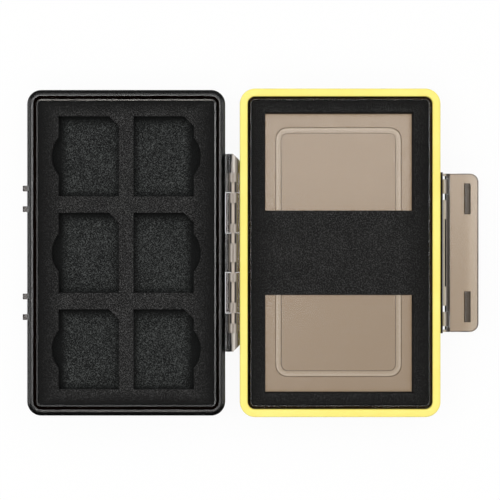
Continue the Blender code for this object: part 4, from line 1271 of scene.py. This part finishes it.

# %% [markdown]
# ## The latch
#
# The latch is a flap with a barrel along one edge, ears at its ends, and two bars that hook behind
# the lid's hooks. Its side view is one section carried along Y. Toward the ends the section is
# pushed in toward the barrel along a quarter circle, which rounds the two free corners. The free
# edge is thinner, as a lip for a finger. The dark line round the flap is painted shade, a thin
# near-black ring under it, and the dark gap beside the barrel is the neck, near-black as painted
# shade too.

# %% Flap
PLATE_START = 0.0014
LATCH_REACH = 0.0132
LATCH_FACE = 0.0006
LATCH_BACK = -0.0007
LATCH_CORNER = 0.0035
THIN_BACK = LATCH_BACK + 0.0003
CORNER_STATIONS = 15
STATION_CROWDING = 0.8
flap_section = filleted([(PLATE_START, LATCH_BACK, 0.0001), (0.0080, LATCH_BACK, 0.001),
                         (0.0106, THIN_BACK, 0.001), (LATCH_REACH, THIN_BACK, 0.0002),
                         (LATCH_REACH, LATCH_FACE, 0.00015), (PLATE_START, LATCH_FACE, 0.0001)],
                        closed=True)


def flap_skin(section):
    """The plate, whose reach at y is the full one less r - sqrt(r^2 - d^2).

    Here r is the free corner's radius and d is how far y lies past the corner's start."""
    turn = np.linspace(0.0, 1.0, CORNER_STATIONS) ** STATION_CROWDING * pi / 2
    far = LATCH_HALF - LATCH_CORNER + LATCH_CORNER * np.sin(turn)
    stations = np.concatenate([-far[::-1], far])
    past = np.maximum(np.abs(stations) - (LATCH_HALF - LATCH_CORNER), 0.0)
    reach = LATCH_REACH - LATCH_CORNER + np.sqrt(np.maximum(LATCH_CORNER ** 2 - past ** 2, 0.0))
    share = (reach - PLATE_START) / (LATCH_REACH - PLATE_START)
    across = PLATE_START + (section[None, :, 0] - PLATE_START) * share[:, None]
    sections = np.stack([across, np.broadcast_to(section[:, 1], across.shape)], axis=-1)
    return carried(sections, stations, LATCH_AXIS)


piece("latch_flap", [flap_skin(flap_section)], latch_plastic, ON_LATCH, HINGE_BEVEL)

# %% Barrel, with a slot in its top
LATCH_BARREL = 0.0011
BARREL_HALF = 0.0214
EAR_START = 0.0310
SLOT_HALF_LENGTH = 0.0136
SLOT_HALF = 0.0003
SLOT_PLACE = -0.00015
SLOT_LEFT, SLOT_RIGHT = SLOT_PLACE - SLOT_HALF, SLOT_PLACE + SLOT_HALF
SLOT_FLOOR = -0.0006
SLOT_ARC = 46
LATCH_BARREL_SIDES = 48

slot_arc = on_circle(LATCH_BARREL, np.arcsin(SLOT_RIGHT / LATCH_BARREL),
                     2 * pi + np.arcsin(SLOT_LEFT / LATCH_BARREL), SLOT_ARC)
slotted_section = np.concatenate([slot_arc, [(SLOT_LEFT, SLOT_FLOOR), (SLOT_RIGHT, SLOT_FLOOR)]])
round_section = on_circle(LATCH_BARREL, 0.0, 2 * pi, LATCH_BARREL_SIDES + 1)[:-1]
slot_span = (-SLOT_HALF_LENGTH, SLOT_HALF_LENGTH)
barrels = carried_each(round_section, mirrored_spans((SLOT_HALF_LENGTH, BARREL_HALF),
                                                     (EAR_START, LATCH_HALF)), LATCH_AXIS)
piece("latch_barrel", barrels + [carried(slotted_section, slot_span, LATCH_AXIS)],
      knuckle_plastic, ON_LATCH, HINGE_BEVEL)

# %% Necks and the ring under the flap, both near-black as painted shade
BEFORE_LUG = LUG_Y - LUG_HALF_WIDTH - CLEARANCE
PAST_LUG = LUG_Y + LUG_HALF_WIDTH + CLEARANCE
BESIDE_PIN = 0.00045
BESIDE_BARREL = 0.0008
NECK_TOP = 0.00058
RING_INSET = 0.00016
RING_WIDTH = 0.00026
RING_TOP = LATCH_BACK - 0.00002
RING_FOOT = LATCH_BACK - 0.00035
RING_ARC = 12


def necks(near, spans):
    """The necks that join the plate to the barrel, from a near edge to the plate."""
    return carried_each([(near, LATCH_BACK), (PLATE_START, LATCH_BACK), (PLATE_START, NECK_TOP),
                         (near, NECK_TOP)], spans, LATCH_AXIS)


def shade_ring():
    """A thin near-black ring of painted shade under the plate, RING_INSET from its outline.

    Four outlines, one per corner of the ring's own section, are joined to a closed tube."""
    turn = np.linspace(0.0, pi / 2, RING_ARC)
    rows = []
    for extra, height in ((0.0, RING_TOP), (RING_WIDTH, RING_TOP), (RING_WIDTH, RING_FOOT),
                          (0.0, RING_FOOT)):
        start, reach = PLATE_START + RING_INSET + extra, LATCH_REACH - RING_INSET - extra
        half, radius = LATCH_HALF - RING_INSET - extra, LATCH_CORNER - RING_INSET - extra
        low = np.column_stack([reach - radius + radius * np.sin(turn),
                               -half + radius - radius * np.cos(turn)])
        outline = np.concatenate([[(start, -half)], low, low[::-1] * (1, -1), [(start, half)]])
        rows.append(np.column_stack([LATCH_X + outline[:, 0], outline[:, 1],
                                     np.full(len(outline), LATCH_Z + height)]))
    return skin(np.stack(rows), closed_rows=True)


piece("latch_necks",
      necks(BESIDE_PIN, mirrored_spans((BARREL_HALF, BEFORE_LUG), (PAST_LUG, EAR_START)))
      + necks(BESIDE_BARREL, mirrored_spans((EAR_START, LATCH_HALF))
              + [(-BARREL_HALF, BARREL_HALF)])
      + [shade_ring()], edge_plastic, ON_LATCH)

# %% Painted shade in the slot: a near-black strip
SLOT_SHADE_TOP = 0.0004
slot_shade_strip = [(SLOT_LEFT + CORE_GAP, SLOT_FLOOR + CORE_GAP),
              (SLOT_RIGHT - CORE_GAP, SLOT_FLOOR + CORE_GAP),
              (SLOT_RIGHT - CORE_GAP, SLOT_SHADE_TOP), (SLOT_LEFT + CORE_GAP, SLOT_SHADE_TOP)]
piece("latch_slot_floor", [carried(slot_shade_strip, slot_span, LATCH_AXIS)], slot_plastic, ON_LATCH)

# %% Bars
BAR_NEAR, BAR_FAR, BAR_TOP = 0.0073, 0.0100, 0.0022
BAR_FOOT = LATCH_FACE + 0.00002
BAR_HALF = 0.00625
bar_section = filleted([(BAR_NEAR, BAR_FOOT, 0.0), (BAR_FAR, BAR_FOOT, 0.0),
                        (BAR_FAR, BAR_TOP, 0.0009), (BAR_NEAR, BAR_TOP, 0.0009)], closed=True)
bar_spans = around(BAR_HALF, -HOOK_PAIR_PITCH / 2, HOOK_PAIR_PITCH / 2)
piece("latch_bars", carried_each(bar_section, bar_spans, LATCH_AXIS), bar_plastic, ON_LATCH,
      HINGE_BEVEL)

# %% Finish
for node in frame["nodes"].values():
    if not node.hide_render:
        print("still shown as CAD:", node.name)
